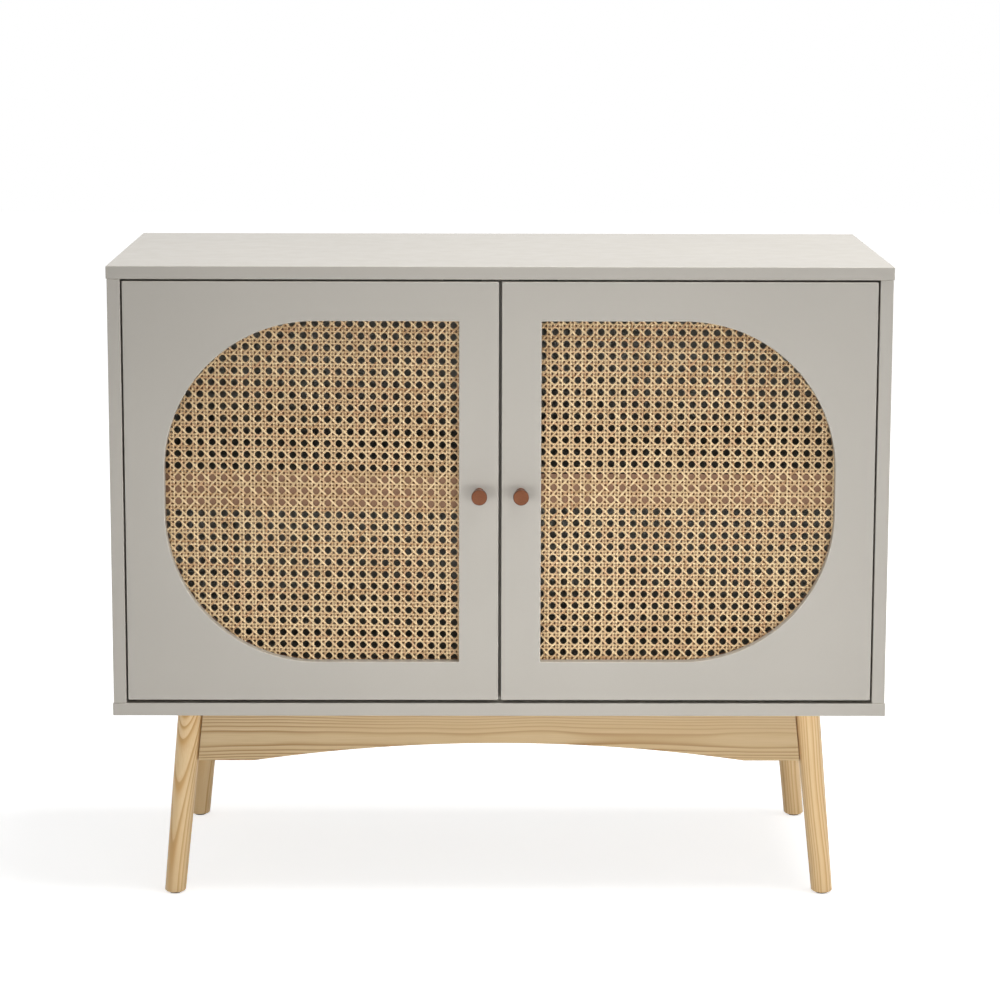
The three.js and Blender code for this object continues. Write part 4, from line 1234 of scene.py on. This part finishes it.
def studio_floor():
    """Pale floor: it shows white, a little darker in the object's shadow, and lights as plain pale paint."""
    finish = Finish("studio_floor")
    finish.nodes.remove(finish.shader)
    plain = finish.node("BsdfDiffuse", {"Color": PALE})
    far = finish.vector("LENGTH", finish.place(), output="Value")
    glow = finish.node("Emission", {"Color": WHITE, "Strength": finish.span(far, 1.0, 3.5, 0.7, 0.82)})
    lit = finish.node("AddShader", {0: plain, 1: glow})
    shown = finish.node("MixShader", {0: seen_directly(finish), 1: plain, 2: lit})
    finish.feed(finish.first("OUTPUT_MATERIAL").inputs["Surface"], shown)
    return finish.material


def studio_world(even_strength):
    """White where it is seen, and an even light of its own strength on the object."""
    world = bpy.data.worlds.new("studio")
    world.use_nodes = True
    tree = Nodes(world.node_tree)
    shown = tree.first("BACKGROUND")
    shown.inputs["Color"].default_value = WHITE
    shown.inputs["Strength"].default_value = 1.0
    even = tree.node("Background", {"Color": WHITE, "Strength": even_strength})
    surface = tree.node("MixShader", {0: seen_directly(tree), 1: even, 2: shown.outputs[0]})
    tree.feed(tree.first("OUTPUT_WORLD").inputs["Surface"], surface)
    return world


def lamp(name, power, place, target, size, spread):
    """A round area lamp aimed at a target."""
    data = bpy.data.lights.new(name, "AREA")
    data.shape, data.size, data.energy, data.spread = "DISK", size, power, math.radians(spread)
    away = np.array(place) - np.array(target)
    yaw = math.atan2(away[0], -away[1])
    pitch = math.atan2(math.hypot(away[0], away[1]), away[2])
    made = linked(name, data)
    made.location, made.rotation_euler = place, (pitch, 0, yaw)


def camera_turn():
    """The camera looks along +Y at rest, is then rolled, tipped down and turned to the right."""
    turn = Quaternion((0, 0, 1), -math.radians(CAMERA_YAW))
    tip = Euler((math.radians(90 - CAMERA_PITCH), 0, 0)).to_quaternion()
    roll = Quaternion((0, 0, 1), math.radians(CAMERA_ROLL))
    return turn @ tip @ roll


def build_stage():
    scene = bpy.context.scene
    light = settings("light")
    corners = FLOOR_REACH * np.array([[-1, -1, 0], [1, -1, 0], [1, 1, 0], [-1, 1, 0]])
    floor = linked("floor", new_mesh("floor", (corners, [np.arange(4)[None, :]], {})))
    floor.data.materials.append(studio_floor())
    for name, (power, *place) in LAMPS.items():
        lamp(name, getattr(light, power), *place)
    scene.world = studio_world(light.sky)
    data = bpy.data.cameras.new("camera")
    data.lens, data.sensor_width, data.shift_y = CAMERA_LENS, CAMERA_SENSOR, CAMERA_SHIFT
    data.clip_start, data.clip_end = CAMERA_NEAR, CAMERA_FAR
    camera = linked("camera", data)
    camera.location = CAMERA_PLACE
    camera.rotation_mode = "QUATERNION"
    camera.rotation_quaternion = camera_turn()
    scene.camera = camera
    scene.view_settings.view_transform = "Standard"


# One operator for each group of pieces


class SIDEBOARD_OT_case(bpy.types.Operator):
    """Builds the painted boards, the shelves and the back"""

    bl_idname = "sideboard.case"
    bl_label = "Case"

    def execute(self, context):
        build_case()
        return {"FINISHED"}


class SIDEBOARD_OT_doors(bpy.types.Operator):
    """Builds the two doors with the rings that hold their cane"""

    bl_idname = "sideboard.doors"
    bl_label = "Doors"

    def execute(self, context):
        build_doors()
        return {"FINISHED"}


class SIDEBOARD_OT_cane(bpy.types.Operator):
    """Weaves the cane of both doors"""

    bl_idname = "sideboard.cane"
    bl_label = "Cane"

    def execute(self, context):
        build_cane()
        return {"FINISHED"}


class SIDEBOARD_OT_knobs(bpy.types.Operator):
    """Turns the two knobs and their screws"""

    bl_idname = "sideboard.knobs"
    bl_label = "Knobs"

    def execute(self, context):
        build_knobs()
        return {"FINISHED"}


class SIDEBOARD_OT_hinges(bpy.types.Operator):
    """Plates the hinges and adds their screws"""

    bl_idname = "sideboard.hinges"
    bl_label = "Hinges"

    def execute(self, context):
        build_hinges()
        return {"FINISHED"}


class SIDEBOARD_OT_catches(bpy.types.Operator):
    """Builds the magnetic catches and strike plates"""

    bl_idname = "sideboard.catches"
    bl_label = "Catches"

    def execute(self, context):
        build_catches()
        return {"FINISHED"}


class SIDEBOARD_OT_fasteners(bpy.types.Operator):
    """Adds the small screws and cam covers"""

    bl_idname = "sideboard.fasteners"
    bl_label = "Fasteners"

    def execute(self, context):
        build_fasteners()
        return {"FINISHED"}


class SIDEBOARD_OT_leg_frame(bpy.types.Operator):
    """Turns the legs and shapes the rails"""

    bl_idname = "sideboard.leg_frame"
    bl_label = "Leg frame"

    def execute(self, context):
        build_leg_frame()
        return {"FINISHED"}


class SIDEBOARD_OT_stage(bpy.types.Operator):
    """Sets up the floor, the lamps and the camera"""

    bl_idname = "sideboard.stage"
    bl_label = "Stage"

    def execute(self, context):
        build_stage()
        return {"FINISHED"}


STEPS = [
    SIDEBOARD_OT_case,
    SIDEBOARD_OT_doors,
    SIDEBOARD_OT_cane,
    SIDEBOARD_OT_knobs,
    SIDEBOARD_OT_hinges,
    SIDEBOARD_OT_catches,
    SIDEBOARD_OT_fasteners,
    SIDEBOARD_OT_leg_frame,
    SIDEBOARD_OT_stage,
]


class SIDEBOARD_PT_panel(bpy.types.Panel):
    """Lists the steps and their settings."""

    bl_label = "Sideboard"
    bl_space_type = "VIEW_3D"
    bl_region_type = "UI"
    bl_category = "Sideboard"

    def draw(self, context):
        for step in STEPS:
            self.layout.operator(step.bl_idname)
        for name, group in SETTINGS.items():
            box = self.layout.box()
            box.label(text=group.__name__.replace("Sideboard", ""))
            for setting in group.__annotations__:
                box.prop(getattr(context.scene, name), setting)


def register():
    for name, group in SETTINGS.items():
        bpy.utils.register_class(group)
        setattr(bpy.types.Scene, name, bpy.props.PointerProperty(type=group))
    for step in [*STEPS, SIDEBOARD_PT_panel]:
        bpy.utils.register_class(step)


def unregister():
    for step in reversed([*STEPS, SIDEBOARD_PT_panel]):
        bpy.utils.unregister_class(step)
    for name, group in reversed(SETTINGS.items()):
        delattr(bpy.types.Scene, name)
        bpy.utils.unregister_class(group)


def main():
    register()
    for step in STEPS:
        getattr(bpy.ops.sideboard, step.bl_idname.split(".")[1])()


if __name__ == "__main__":
    main()
